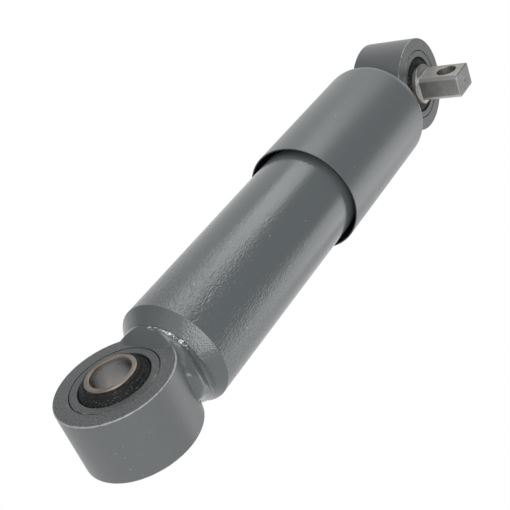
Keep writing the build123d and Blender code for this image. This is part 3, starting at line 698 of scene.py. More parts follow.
@dataclass(frozen=True)
class Turning:
    """Turns outlines into meshes."""

    centre: Vector
    bore: Bore
    segments: int = 256
    arc_steps: int = 6
    guard: float = 0.35 * MM
    least_guard: float = 0.02 * MM
    least_rounding: float = 0.01 * MM
    least_half_angle: float = 0.05
    edge_share: float = 0.48
    tangent_wear: float = 0.35

    def outline(self, corners: list[Corner]) -> list[tuple[float, float, float]]:
        """Rounds the corners of a closed outline.

        Args:
            corners: The corners in order.

        Returns:
            Radius, place along the axis and wear of each point.
        """
        points: list[tuple[float, float, float]] = []
        count = len(corners)
        for index, corner in enumerate(corners):
            here = Vector((corner.radius, corner.along))
            before = Vector((corners[index - 1].radius, corners[index - 1].along))
            after = Vector((corners[(index + 1) % count].radius, corners[(index + 1) % count].along))
            back, forth = (before - here).normalized(), (after - here).normalized()
            half = max(back.angle(forth) / 2, self.least_half_angle)
            reach = corner.rounding / math.tan(half)
            room = self.edge_share * min((before - here).length, (after - here).length)
            reach = min(reach, room)
            rounding = reach * math.tan(half)
            guard = min(self.guard, room - reach)
            if guard > self.least_guard:
                points.append((*(here + back * (reach + guard)), 0.0))
            if rounding < self.least_rounding:
                points.append((*here, corner.wear))
            else:
                middle = here + (back + forth).normalized() * (rounding / math.sin(half))
                start = here + back * reach - middle
                turn = math.pi - 2 * half
                stop = here + forth * reach - middle
                side = 1.0 if start.x * stop.y - start.y * stop.x > 0 else -1.0
                for step in range(self.arc_steps + 1):
                    angle = side * turn * step / self.arc_steps
                    cosine, sine = math.cos(angle), math.sin(angle)
                    spun = Vector((start.x * cosine - start.y * sine, start.x * sine + start.y * cosine))
                    share = (1 - self.tangent_wear) * math.sin(math.pi * step / self.arc_steps)
                    points.append((*(middle + spun), corner.wear * (self.tangent_wear + share)))
            if guard > self.least_guard:
                points.append((*(here + forth * (reach + guard)), 0.0))
        return points

    def turn(self, name: str, corners: list[Corner], ring_gap: float = 0.0) -> bpy.types.Object:
        """Makes a turned piece from a closed outline.

        Args:
            name: The piece's name.
            corners: The outline's corners.
            ring_gap: The longest step between rings, or 0 to leave long ones.

        Returns:
            The new object.
        """
        points = self.outline(corners)
        if ring_gap > 0:
            points = self.divided(points, ring_gap)
        along, first, second = self.bore.along, self.bore.first, self.bore.second
        vertices: list[Vector] = []
        for radius, place, _ in points:
            for index in range(self.segments):
                angle = 2 * math.pi * index / self.segments
                across = first * math.cos(angle) + second * math.sin(angle)
                vertices.append(self.centre + along * place + across * radius)
        faces = []
        count = len(points)
        for row in range(count):
            below, above = row * self.segments, ((row + 1) % count) * self.segments
            for index in range(self.segments):
                beside = (index + 1) % self.segments
                faces.append((below + index, below + beside, above + beside, above + index))
        mesh = bpy.data.meshes.new(name)
        mesh.from_pydata(vertices, [], faces)
        piece = finished(name, mesh)
        mark(piece, WEAR_AND_GLINT_ATTRIBUTE, [point[2] for point in points for _ in range(self.segments)])
        return piece

    @staticmethod
    def divided(points: list[tuple[float, float, float]], gap: float) -> list[tuple[float, float, float]]:
        """Adds points so that none are further apart than a gap.

        Args:
            points: The points of a closed outline.
            gap: The longest step.

        Returns:
            The points with more between them.
        """
        dense = []
        for index, point in enumerate(points):
            here, there = Vector(point), Vector(points[(index + 1) % len(points)])
            steps = max(1, math.ceil((there.xy - here.xy).length / gap))
            dense.extend(tuple(here.lerp(there, step / steps)) for step in range(steps))
        return dense


def finished(name: str, mesh: bpy.types.Mesh) -> bpy.types.Object:
    """Turns a closed mesh's faces outwards, smooths it and links an object for it.

    Args:
        name: The object's name.
        mesh: Its mesh.

    Returns:
        The new object.
    """
    shell = bmesh.new()
    shell.from_mesh(mesh)
    bmesh.ops.recalc_face_normals(shell, faces=shell.faces)
    for face in shell.faces:
        face.smooth = True
    shell.to_mesh(mesh)
    shell.free()
    piece = bpy.data.objects.new(name, mesh)
    bpy.context.scene.collection.objects.link(piece)
    return piece


def mirrored(side: list[Corner]) -> list[Corner]:
    """One half of an outline and its mirror image, in order round the whole of it."""
    return side + [Corner(corner.radius, -corner.along, corner.rounding) for corner in reversed(side)]


def mark(piece: bpy.types.Object, attribute: str, values: list[float]) -> None:
    """Writes one number for each vertex of a piece.

    Args:
        piece: The piece.
        attribute: The attribute's name, which the finishes read.
        values: The numbers, in the order of the vertices.
    """
    layer = piece.data.attributes.get(attribute) or piece.data.attributes.new(attribute, "FLOAT", "POINT")
    layer.data.foreach_set("value", values)


def remeshed(name: str, source: bpy.types.Object, voxel: float, smoothing: int) -> bpy.types.Object:
    """Copies a solid into an evenly divided mesh whose sharp edges are softened.

    Args:
        name: The new object's name.
        source: The object whose mesh is copied.
        voxel: The size of a face, in metres.
        smoothing: How many times the mesh is smoothed.

    Returns:
        The new object.
    """
    piece = bpy.data.objects.new(name, source.data.copy())
    bpy.context.scene.collection.objects.link(piece)
    fine = piece.modifiers.new("even", "REMESH")
    fine.mode = "VOXEL"
    fine.voxel_size = voxel
    fine.use_smooth_shade = True
    soft = piece.modifiers.new("soft", "SMOOTH")
    soft.iterations = smoothing
    depsgraph = bpy.context.evaluated_depsgraph_get()
    mesh = bpy.data.meshes.new_from_object(piece.evaluated_get(depsgraph))
    bpy.data.objects.remove(piece)
    mesh.name = name
    mesh.materials.clear()
    return finished(name, mesh)


class Bench:
    """Puts pieces in their places: body, material slot, finish and the node replaced."""

    def __init__(self, frame: dict, effects: Effects) -> None:
        """Reads which body carries each node.

        Args:
            effects: The shared node groups.
        """
        self.nodes = frame["nodes"]
        self.effects = effects
        bodies = frame["record"]["behaviour"]["bodies"]
        self.body_of = {node: body for body, nodes in bodies.items() for node in nodes}
        self.count = 0

    def seat(self, piece: bpy.types.Object, node: str, finish: Finish) -> bpy.types.Object:
        """Gives a new piece its finish, body and slot in place of a node.

        Args:
            piece: The new piece.
            node: The node that it stands for.
            finish: Its finish.

        Returns:
            The piece.
        """
        piece.data.materials.clear()
        piece.data.materials.append(finish.material(self.effects))
        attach(piece, self.body_of[node])
        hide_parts(node)
        self.count += 1
        LOG.info("made %s on %s, %d faces", piece.name, self.body_of[node], len(piece.data.polygons))
        return piece

    def keep(self, node: str, finish: Finish) -> None:
        """Gives a node's own solid a finish.

        Args:
            node: The node.
            finish: Its finish.
        """
        for slot in self.nodes[node].material_slots:
            slot.material = finish.material(self.effects)
        self.count += 1
        LOG.info("kept %s", node)


def ramp(value: float, low: float, high: float) -> float:
    """Rises smoothly from 0 at low to 1 at high."""
    share = min(max((value - low) / (high - low), 0.0), 1.0)
    return share * share * (3 - 2 * share)


def hump(value: float, low: float, high: float) -> float:
    """Rises from 0 at low to 1 halfway and falls back to 0 at high."""
    share = min(max((value - low) / (high - low), 0.0), 1.0)
    return math.sin(math.pi * share) ** 2


@dataclass
class EyeEnd:
    """One end of the damper: the eye, its rubber-bonded bush and the weld to the cap.

    Each rib is its place up the rubber's slope and its height as a share of rib_height.
    """

    end: str
    bore: Bore
    bench: Bench
    finishes: Finishes
    rubber_reach: float
    # Pale wear on the outer edges is partly painted highlight on their rounding.
    edge_wear_and_highlight: float = 1.0
    edge_rounding: float = 0.75 * MM
    rim_wear: float = 0.5
    bore_chamfer: float = 0.15 * MM
    bore_rounding: float = 0.05 * MM
    ring_gap: float = 2.0 * MM
    cut_margin: float = 0.1 * MM
    eye_wall: float = 9.0 * MM
    press_gap: float = 0.02 * MM
    sleeve_wall: float = 1.4 * MM
    sleeve_lift: float = 0.5 * MM
    sleeve_bend: float = 0.35 * MM
    groove: float = 0.5 * MM
    groove_depth: float = 1.8 * MM
    groove_rounding: float = 0.1 * MM
    # Pale wear on the sleeve's bend is partly painted highlight on its rounding.
    sleeve_wear_and_highlight: float = 0.55
    lip_radius: float = 21.0 * MM
    lip_rounding: float = 0.25 * MM
    lip_wear: float = 0.3
    least_bend: float = 0.2 * MM
    rubber_bore: float = 15.05 * MM
    rubber_bore_rounding: float = 0.15 * MM
    rubber_tip: float = 16.45 * MM
    rubber_tip_rounding: float = 0.6 * MM
    rubber_rise: float = 0.4 * MM
    rubber_gap: float = 0.02 * MM
    rubber_rounding: float = 0.3 * MM
    rib_inset: float = 0.1 * MM
    rib_height: float = 0.16 * MM
    rib_rounding: float = 0.4 * MM
    ribs: tuple[Band, ...] = ((0.22, -0.6), (0.40, 0.9), (0.58, -0.6), (0.76, 0.7), (0.9, -0.4))

    def __post_init__(self) -> None:
        """Reads the eye's place and outer sizes from the frame."""
        low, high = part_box(f"{self.end}_eye")
        self.centre = (low + high) / 2
        size = high - low
        self.half_width = size.dot(self.bore.along) / 2
        self.radius = size.z / 2
        self.turning = Turning(self.centre, self.bore)
        sleeve_low, sleeve_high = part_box(f"{self.end}_bush_outer_sleeve")
        self.sleeve_half = (sleeve_high - sleeve_low).dot(self.bore.along) / 2

    def build(self) -> None:
        """Makes every piece of the end."""
        self.build_eye()
        self.build_sleeve()
        self.build_rubber()
        EyeWeld(self).build()

    def build_eye(self) -> None:
        """Makes the thick ring of the eye, its outer edges rounded and given pale wear that is partly painted
        highlight.
        """
        bore = self.radius - self.eye_wall
        half, chamfer = self.half_width, self.bore_chamfer
        corners = []
        for side in (1, -1):
            outer = Corner(self.radius, side * half, self.edge_rounding, self.edge_wear_and_highlight)
            rim = Corner(bore + chamfer, side * half, self.bore_rounding, self.rim_wear)
            throat = Corner(bore, side * (half - chamfer), self.bore_rounding)
            corners.extend((outer, rim, throat)[::side])
        eye = self.turning.turn(f"{self.end}_eye_ring", corners, self.ring_gap)
        self.mark_cut(eye, half)
        self.bench.seat(eye, f"{self.end}_eye", self.finishes.eye)

    def build_sleeve(self) -> None:
        """Makes the sheet sleeve round the rubber, its ends bent inwards."""
        outer = self.radius - self.eye_wall - self.press_gap
        waist = outer - self.groove
        wall, half, bend = self.sleeve_wall, self.sleeve_half + self.sleeve_lift, self.sleeve_bend
        inner_bend = max(bend - wall, self.least_bend)
        corners = [
            Corner(waist, half, bend, self.sleeve_wear_and_highlight),
            Corner(self.lip_radius, half, self.lip_rounding, self.lip_wear),
            Corner(self.lip_radius, half - wall, self.lip_rounding),
            Corner(outer - wall, half - wall, inner_bend),
            Corner(outer - wall, wall - half, inner_bend),
            Corner(self.lip_radius, wall - half, self.lip_rounding),
            Corner(self.lip_radius, -half, self.lip_rounding, self.lip_wear),
            Corner(waist, -half, bend, self.sleeve_wear_and_highlight),
            Corner(waist, self.groove_depth - half, self.groove_rounding),
            Corner(outer, self.groove_depth - half + self.groove, self.groove_rounding),
            Corner(outer, half - self.groove_depth - self.groove, self.groove_rounding),
            Corner(waist, half - self.groove_depth, self.groove_rounding),
        ]
        sleeve = self.turning.turn(f"{self.end}_bush_sheet_sleeve", corners)
        self.mark_cut(sleeve, half)
        self.bench.seat(sleeve, f"{self.end}_bush_outer_sleeve", self.finishes.sleeve)

    def mark_cut(self, piece: bpy.types.Object, half: float) -> None:
        """Marks the two faces of a piece that a tool has cut, which look grainier.

        Args:
            piece: The piece.
            half: How far from the middle of the bore the faces are.
        """
        along, beyond = self.bore.along, half - self.cut_margin
        values = [float(abs((v.co - self.centre).dot(along)) > beyond) for v in piece.data.vertices]
        mark(piece, CUT_AND_SHADE_ATTRIBUTE, values)

    def build_rubber(self) -> None:
        """Makes the rubber, which slopes up from the lip to the inner metal in low ribs."""
        outer = self.radius - self.eye_wall - self.sleeve_wall
        lip_inside = self.sleeve_half - self.sleeve_wall
        shoulder = lip_inside + self.rubber_rise
        lip = self.lip_radius - self.rubber_gap
        start = Vector((self.rubber_tip, self.rubber_reach))
        slope = Vector((lip - self.rib_inset, shoulder)) - start
        normal = Vector((-slope.y, slope.x)).normalized()
        side = [Corner(self.rubber_bore, self.rubber_reach, self.rubber_bore_rounding)]
        side.append(Corner(self.rubber_tip, self.rubber_reach, self.rubber_tip_rounding))
        for share, lift in self.ribs:
            spot = start + slope * share + normal * self.rib_height * lift
            side.append(Corner(spot.x, spot.y, self.rib_rounding))
        side.append(Corner(lip, shoulder, self.rubber_rounding))
        side.append(Corner(lip, lip_inside, 0.0))
        side.append(Corner(outer, lip_inside, self.rubber_rounding))
        rubber = self.turning.turn(f"{self.end}_bush_moulding", mirrored(side))
        self.bench.seat(rubber, f"{self.end}_bush_rubber", self.finishes.rubber)


@dataclass(frozen=True)
class WeldForm:
    """How a weld is worked: its sizes, and the bands where each form fades in or comes and goes.

    A share band runs from 0 at the eye to 1 at the cap. A top band is counted from the top
    of the eye. Side bands lie across the bore, reach bands along it.
    """

    voxel: float = 0.4 * MM
    smoothing: int = 2
    cap_gap: float = 1.0 * MM
    side_band: Band = (18.0 * MM, 26.0 * MM)
    facing_band: Band = (0.0, 0.4)
    bead_height: float = 2.0 * MM
    bead_share_band: Band = (0.1, 0.9)
    bead_reach_band: Band = (-16.0 * MM, 4.0 * MM)
    toe_hollow: float = 1.3 * MM
    toe_share_band: Band = (-0.1, 0.28)
    crease_depth: float = 2.0 * MM
    crease_share_band: Band = (0.7, 1.1)
    crease_reach: float = 18.0 * MM
    crease_fade: float = 8.0 * MM
    ripple_height: float = 0.06 * MM
    ripple_scale: float = 330.0
    ripple_share_band: Band = (0.05, 0.3)
    crest_swell: float = 0.4 * MM
    crest_top_band: Band = (-3.0 * MM, -0.5 * MM)
    corner_radius: float = 27.4 * MM
    corner_turn: float = 75.0
    corner_growth: float = 0.085 * MM
    corner_top_band: Band = (-14.0 * MM, -2.0 * MM)
    # Painted glints: near-white flecks along the outward-facing crest, standing for lamp sparkle, kept in the
    # wear attribute.
    wear: float = 0.7
    glint_top_band: Band = (-2.6 * MM, 1.6 * MM)
    glint_facing_band: Band = (0.05, 0.3)
    glint_side_band: Band = (0.0, 30.0 * MM)
    glint_reach_band: Band = (0.0, 10.0 * MM)


@dataclass
class EyeWeld:
    """The weld between one eye and its cap, seen from the eye's centre."""

    eye: EyeEnd
    form: WeldForm = WeldForm()

    def build(self) -> None:
        """Makes the weld from its solid, works its surface and marks its painted glints."""
        eye, form = self.eye, self.form
        node = f"{eye.end}_eye_weld"
        bead = remeshed(f"{eye.end}_weld_bead", eye.bench.nodes[node], form.voxel, form.smoothing)
        worked = [self.work(vertex) for vertex in bead.data.vertices]
        bead.data.vertices.foreach_set("co", [value for place, _ in worked for value in place])
        bead.data.update()
        mark(bead, WEAR_AND_GLINT_ATTRIBUTE, [wear for _, wear in worked])
        eye.bench.seat(bead, node, eye.finishes.weld)

    def work(self, vertex: bpy.types.MeshVertex) -> tuple[Vector, float]:
        """Gives one vertex its place in the hollow toe, full bead, crease and crest.

        Args:
            vertex: A vertex of the remeshed weld, which isn't changed.

        Returns:
            Its new place and the strength of its painted glint.
        """
        form = self.form
        along = self.eye.bore.along
        across = Vector((0, 0, 1)).cross(along)
        place = vertex.co - self.eye.centre
        reach, side = place.dot(along), place.dot(across)
        rise = place.z * (1.0 if self.eye.end == "lower" else -1.0)
        root = math.sqrt(max(self.eye.radius**2 - side**2, 0.0))
        share = (rise - root) / (self.eye.radius + form.cap_gap - root)
        facing = vertex.normal.dot(across) * math.copysign(1.0, side)
        weight = ramp(abs(side), *form.side_band) * ramp(facing, *form.facing_band)
        step = across * (math.copysign(1.0, side) * (self.lift(reach, share) * weight))
        ripple = noise.noise(vertex.co * form.ripple_scale) * form.ripple_height
        ripple *= ramp(share, *form.ripple_share_band)
        swell = form.crest_swell * ramp(rise, *self.top(form.crest_top_band))
        outward = (along * reach + across * side).normalized()
        drawn = outward * self.overhang(reach, side) * ramp(rise, *self.top(form.corner_top_band))
        # Painted glints along the crest, strongest where it faces outwards.
        wear = form.wear * hump(rise, *self.top(form.glint_top_band)) * hump(side, *form.glint_side_band)
        wear *= ramp(vertex.normal.dot(outward), *form.glint_facing_band)
        wear *= ramp(reach, *form.glint_reach_band)
        return vertex.co + step + vertex.normal * (ripple + swell) - drawn, wear

    def lift(self, reach: float, share: float) -> float:
        """How far the bead, the toe and the crease move the side of the weld outwards.

        Args:
            reach: The place along the bore.
            share: The place between the eye, 0, and the cap, 1.

        Returns:
            The distance, in metres.
        """
        form = self.form
        bead = form.bead_height * ramp(reach, *form.bead_reach_band) * hump(share, *form.bead_share_band)
        toe = form.toe_hollow * hump(share, *form.toe_share_band)
        inside = ramp(form.crease_reach - abs(reach), 0.0, form.crease_fade)
        return bead - toe - form.crease_depth * hump(share, *form.crease_share_band) * inside

    def overhang(self, reach: float, side: float) -> float:
        """How far a point lies beyond the rounded outline of the crest.

        Args:
            reach: The point's place along the bore.
            side: Its place across the bore.

        Returns:
            The distance, in metres, or 0 inside the outline.
        """
        turned = math.degrees(math.atan2(abs(side), reach))
        growth = max(turned - self.form.corner_turn, 0.0) * self.form.corner_growth
        return max(math.hypot(reach, side) - self.form.corner_radius - growth, 0.0)

    def top(self, band: Band) -> Band:
        """A band counted from the top of the eye, as heights above the eye's centre."""
        return self.eye.radius + band[0], self.eye.radius + band[1]


@dataclass
class ClampSleeve:
    """The steel sleeve in the lower eye that the mounting bolt clamps."""

    bench: Bench
    finishes: Finishes
    wall: float = 3.0 * MM
    outer_chamfer: float = 0.45 * MM
    bore_chamfer: float = 0.4 * MM
    outer_rounding: float = 0.35 * MM
    bore_rounding: float = 0.25 * MM
    ring_gap: float = 3.0 * MM
    skin: float = 0.1 * MM
    polish_band: Band = (0.5 * MM, 3.0 * MM)

    def build(self) -> None:
        """Makes the sleeve with its chamfered ends."""
        low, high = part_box("lower_inner_sleeve")
        radius, half = (high.z - low.z) / 2, (high.x - low.x) / 2
        bore = radius - self.wall
        side = [
            Corner(bore, half - self.bore_chamfer, self.bore_rounding),
            Corner(bore + self.bore_chamfer, half, self.bore_rounding),
            Corner(radius - self.outer_chamfer, half, self.outer_rounding),
            Corner(radius, half - self.outer_chamfer, self.outer_rounding),
        ]
        centre = (low + high) / 2
        sleeve = Turning(centre, Bore.X).turn("clamp_sleeve", mirrored(side), self.ring_gap)
        polish = []
        for vertex in sleeve.data.vertices:
            place = vertex.co - centre
            inside = place.yz.length < bore + self.skin
            polish.append(ramp(half - abs(place.x), *self.polish_band) if inside else 0.0)
        mark(sleeve, WEAR_AND_GLINT_ATTRIBUTE, polish)
        self.bench.seat(sleeve, "lower_inner_sleeve", self.finishes.clamp_sleeve)


@dataclass
class BarPin:
    """The forged bar pin in the upper eye, its tangs rubbed bright along their edges."""

    bench: Bench
    finishes: Finishes
    voxel: float = 0.25 * MM
    smoothing: int = 2
    strip_radius: float = 13.45 * MM
    strip_fade: float = 0.25 * MM
    strip_wear: float = 0.8
    round_end: float = 22.5 * MM
    tang_start: float = 24.9 * MM
    slope_margins: Band = (0.3 * MM, 0.4 * MM)
    slope_radius: float = 13.2 * MM
    shank_darkening: float = 0.95
    shank_fade: float = 0.6 * MM
    shank_height_band: Band = (-9.0 * MM, 0.0)
    end_darkening: float = 0.3
    end_skin: float = 0.2 * MM
    dimple_radius: float = 1.9 * MM
    dimple_share: float = 0.35

    def build(self) -> None:
        """Makes the pin with softened edges from its solid, and marks what is rubbed."""
        pin = remeshed("forged_bar_pin", self.bench.nodes["bar_pin"], self.voxel, self.smoothing)
        low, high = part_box("bar_pin")
        centre, end = (low + high) / 2, (high.y - low.y) / 2
        rubbed, dulled = [], []
        for vertex in pin.data.vertices:
            place = vertex.co - centre
            reach, radius = abs(place.y), place.xz.length
            across = Vector((place.x, 0.0, place.z))
            if reach > self.tang_start and radius > self.strip_radius:
                across *= self.strip_radius / radius
            if radius < self.dimple_radius and end - reach < 2 * self.dimple_radius:
                reach = end - (end - reach) * self.dimple_share
            vertex.co = centre + across + Vector((0.0, math.copysign(reach, place.y), 0.0))
            rubbed.append(self.rubbing(reach, radius))
            dulled.append(self.dark_tone(reach, place.z, end))
        mark(pin, WEAR_AND_GLINT_ATTRIBUTE, rubbed)
        mark(pin, CUT_AND_SHADE_ATTRIBUTE, dulled)
        self.bench.seat(pin, "bar_pin", self.finishes.pin)

    def rubbing(self, reach: float, radius: float) -> float:
        """How bright the corner strips and the slopes behind the tangs are rubbed.

        Args:
            reach: The distance from the middle of the pin, along it.
            radius: The distance from its axis.

        Returns:
            The wear, from 0 to 1.
        """
        strip = ramp(radius, self.strip_radius - self.strip_fade, self.strip_radius)
        strip *= self.strip_wear * (reach > self.tang_start)
        behind, ahead = self.slope_margins
        slope = hump(reach, self.round_end - behind, self.tang_start + ahead)
        return max(strip, slope * (radius < self.slope_radius))

    def dark_tone(self, reach: float, height: float, end: float) -> float:
        """How much darker and duller the round shank, more towards its upper side, and the end faces are.

        Args:
            reach: The distance from the middle of the pin, along it.
            height: The place across the pin, up being positive.
            end: How far from the middle the pin ends.

        Returns:
            The dullness, from 0 to 1.
        """
        shank = self.shank_darkening * ramp(self.round_end + self.shank_fade - reach, 0.0, self.shank_fade)
        shank *= ramp(height, *self.shank_height_band)
        return max(shank, self.end_darkening * (end - reach < self.end_skin))


@dataclass
class ReservoirShell:
    """The outer tube of the damper and the pressed cap that closes its lower end."""

    bench: Bench
    finishes: Finishes
    wall: float = 2.5 * MM
    rim_rounding: float = 5.25 * MM
    rim_bore: float = 28.0 * MM
    shoulder: float = 8.4 * MM
    shoulder_rounding: float = 4.0 * MM
    seam_rounding: float = 0.05 * MM
    edge_rounding: float = 0.3 * MM
    cap_wall: float = 4.0 * MM
    skirt_wall: float = 3.5 * MM
    skirt_rounding: float = 0.8 * MM
    skirt_inner_rounding: float = 0.2 * MM
    pole: float = 0.05 * MM
    ring_gap: float = 4.0 * MM

    def build(self) -> None:
        """Makes the tube and the cap."""
        low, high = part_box("reservoir_tube")
        radius = (high.x - low.x) / 2
        inner = radius - self.wall
        tube = [
            Corner(radius, low.z, self.seam_rounding),
            Corner(radius, high.z, self.rim_rounding),
            Corner(self.rim_bore, high.z, self.edge_rounding),
            Corner(self.rim_bore, high.z - self.wall, self.edge_rounding),
            Corner(inner, high.z - self.wall, self.rim_rounding - self.wall),
            Corner(inner, low.z, 0.0),
        ]
        turning = Turning(Vector((0, 0, 0)), Bore.Z)
        shell = turning.turn("reservoir_shell", tube, self.ring_gap)
        self.bench.seat(shell, "reservoir_tube", self.finishes.reservoir)
        cap_low, cap_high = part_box("base_cap")
        skirt = inner - self.skirt_wall
        floor = cap_low.z + self.cap_wall
        cap = [
            Corner(self.pole, cap_low.z),
            Corner(radius - self.shoulder, cap_low.z, self.shoulder_rounding),
            Corner(radius, cap_low.z + self.shoulder, self.shoulder_rounding),
            Corner(radius, low.z, 0.0),
            Corner(inner, low.z, 0.0),
            Corner(inner, cap_high.z, self.skirt_rounding),
            Corner(skirt, cap_high.z, self.skirt_inner_rounding),
            Corner(skirt, floor, self.cap_wall),
            Corner(self.pole, floor),
        ]
        base = turning.turn("pressed_base_cap", cap)
        self.bench.seat(base, "base_cap", self.finishes.cap)


@dataclass
class DustCover:
    """The dust tube over the rod and the pressed cap that carries it."""

    bench: Bench
    finishes: Finishes
    wall: float = 1.0 * MM
    lip_rounding: float = 0.3 * MM
    crown_rounding: float = 14.2 * MM
    arc_steps: int = 14
    cap_wall: float = 3.0 * MM
    cap_lap: float = 1.5 * MM
    skirt_rounding: float = 0.8 * MM
    skirt_inner_rounding: float = 0.2 * MM
    inner_shoulder_rounding: float = 2.0 * MM
    inner_crown_rounding: float = 8.0 * MM
    bore: float = 8.0 * MM
    ring_gap: float = 4.0 * MM
    outer_skin: float = 0.15 * MM

    def build(self) -> None:
        """Makes the tube and the cap."""
        low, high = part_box("dust_tube")
        radius = (high.x - low.x) / 2
        inner = radius - self.wall
        cap_low, cap_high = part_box("dust_cap")
        crown = Vector((radius - self.crown_rounding, cap_high.z - self.crown_rounding))
        seam = math.asin((high.z - crown.y) / self.crown_rounding)
        tube = [
            Corner(radius, low.z, self.lip_rounding),
            *self.arc(crown, 0.0, seam),
            Corner(inner, high.z, 0.0),
            Corner(inner, low.z, self.lip_rounding),
        ]
        turning = Turning(Vector((0, 0, 0)), Bore.Z)
        cover = turning.turn("dust_cover_tube", tube, self.ring_gap)
        # Marks the inside wall and rim end so that the paint darkens them, which is painted shade.
        skin = radius - self.outer_skin
        mark(cover, CUT_AND_SHADE_ATTRIBUTE, [float(vertex.co.xy.length < skin) for vertex in cover.data.vertices])
        self.bench.seat(cover, "dust_tube", self.finishes.cover)
        lap = radius - self.cap_lap
        skirt = lap - self.cap_wall
        cap = [
            Corner(self.bore, cap_high.z),
            *self.arc(crown, math.pi / 2, seam),
            Corner(lap, high.z),
            Corner(lap, cap_low.z, self.skirt_rounding),
            Corner(skirt, cap_low.z, self.skirt_inner_rounding),
            Corner(skirt, crown.y, self.inner_shoulder_rounding),
            Corner(crown.x, cap_high.z - self.cap_wall, self.inner_crown_rounding),
            Corner(self.bore, cap_high.z - self.cap_wall),
        ]
        lid = turning.turn("pressed_dust_cap", cap)
        self.bench.seat(lid, "dust_cap", self.finishes.cover)

    def arc(self, centre: Vector, start: float, end: float) -> list[Corner]:
        """Part of the crown's rounding as corners of an outline.

        Args:
            centre: The arc's centre, as radius and place along the axis.
            start: The angle it starts at, in radians, 0 being straight out.
            end: The angle it ends at.

        Returns:
            Its points in order.
        """
        corners = []
        for step in range(self.arc_steps + 1):
            angle = start + (end - start) * step / self.arc_steps
            out, up = math.cos(angle) * self.crown_rounding, math.sin(angle) * self.crown_rounding
            corners.append(Corner(centre.x + out, centre.y + up))
        return corners


@dataclass
class InnerWorks:
    """The works inside, which keep their own solids and get real finishes."""

    bench: Bench
    finishes: Finishes
    plain: tuple[str, ...] = (
        "base_valve_discs", "base_valve_bolt", "base_valve_nut", "base_valve_collar", "foot_intake_plate",
        "foot_intake_spring", "pressure_tube", "seal_garter_spring", "seal_retainer", "piston_check_plate",
        "piston_check_spring", "piston_support_washer", "piston_rebound_discs", "piston_backing_washer",
        "piston_nut", "guide_bush", "rod_cap_weld",
    )
    sintered: tuple[str, ...] = ("base_valve_body", "rod_guide", "piston")
    rubber: tuple[str, ...] = ("guide_o_ring", "rod_seal")
    plastic: tuple[str, ...] = ("piston_band", "rebound_cushion")
    chrome: tuple[str, ...] = ("piston_rod",)

    def build(self) -> None:
        """Gives every inner piece its finish."""
        groups = (
            (self.plain, self.finishes.plain),
            (self.sintered, self.finishes.sintered),
            (self.rubber, self.finishes.rubber),
            (self.plastic, self.finishes.plastic),
            (self.chrome, self.finishes.chrome),
        )
        for names, finish in groups:
            for name in names:
                self.bench.keep(name, finish)


@dataclass(frozen=True)
class Softbox:
    """A large soft lamp that faces the middle of the damper."""

    name: str
    azimuth: float
    elevation: float
    distance: float
    width: float
    height: float
    power: float

    def build(self, target: Vector) -> None:
        """Places the lamp.

        Args:
            target: The point that it faces.
        """
        lamp = bpy.data.lights.new(self.name, "AREA")
        lamp.shape = "RECTANGLE"
        lamp.size, lamp.size_y, lamp.energy = self.width, self.height, self.power
        holder = bpy.data.objects.new(self.name, lamp)
        holder.location = target + heading(self.azimuth, self.elevation) * self.distance
        holder.rotation_mode = "QUATERNION"
        holder.rotation_quaternion = (holder.location - target).to_track_quat("Z", "Y")
        holder.visible_camera = False
        bpy.context.scene.collection.objects.link(holder)
        LOG.info("placed lamp %s", self.name)


def heading(azimuth: float, elevation: float) -> Vector:
    """The unit vector to an azimuth from +X towards +Y and an elevation, in degrees."""
    turn, rise = math.radians(azimuth), math.radians(elevation)
    return Vector((math.cos(turn) * math.cos(rise), math.sin(turn) * math.cos(rise), math.sin(rise)))


@dataclass(frozen=True)
class DimZone:
    """A round part of the white surroundings that reflections show darker."""

    azimuth: float
    elevation: float
    inside: float
    outside: float
    level: float


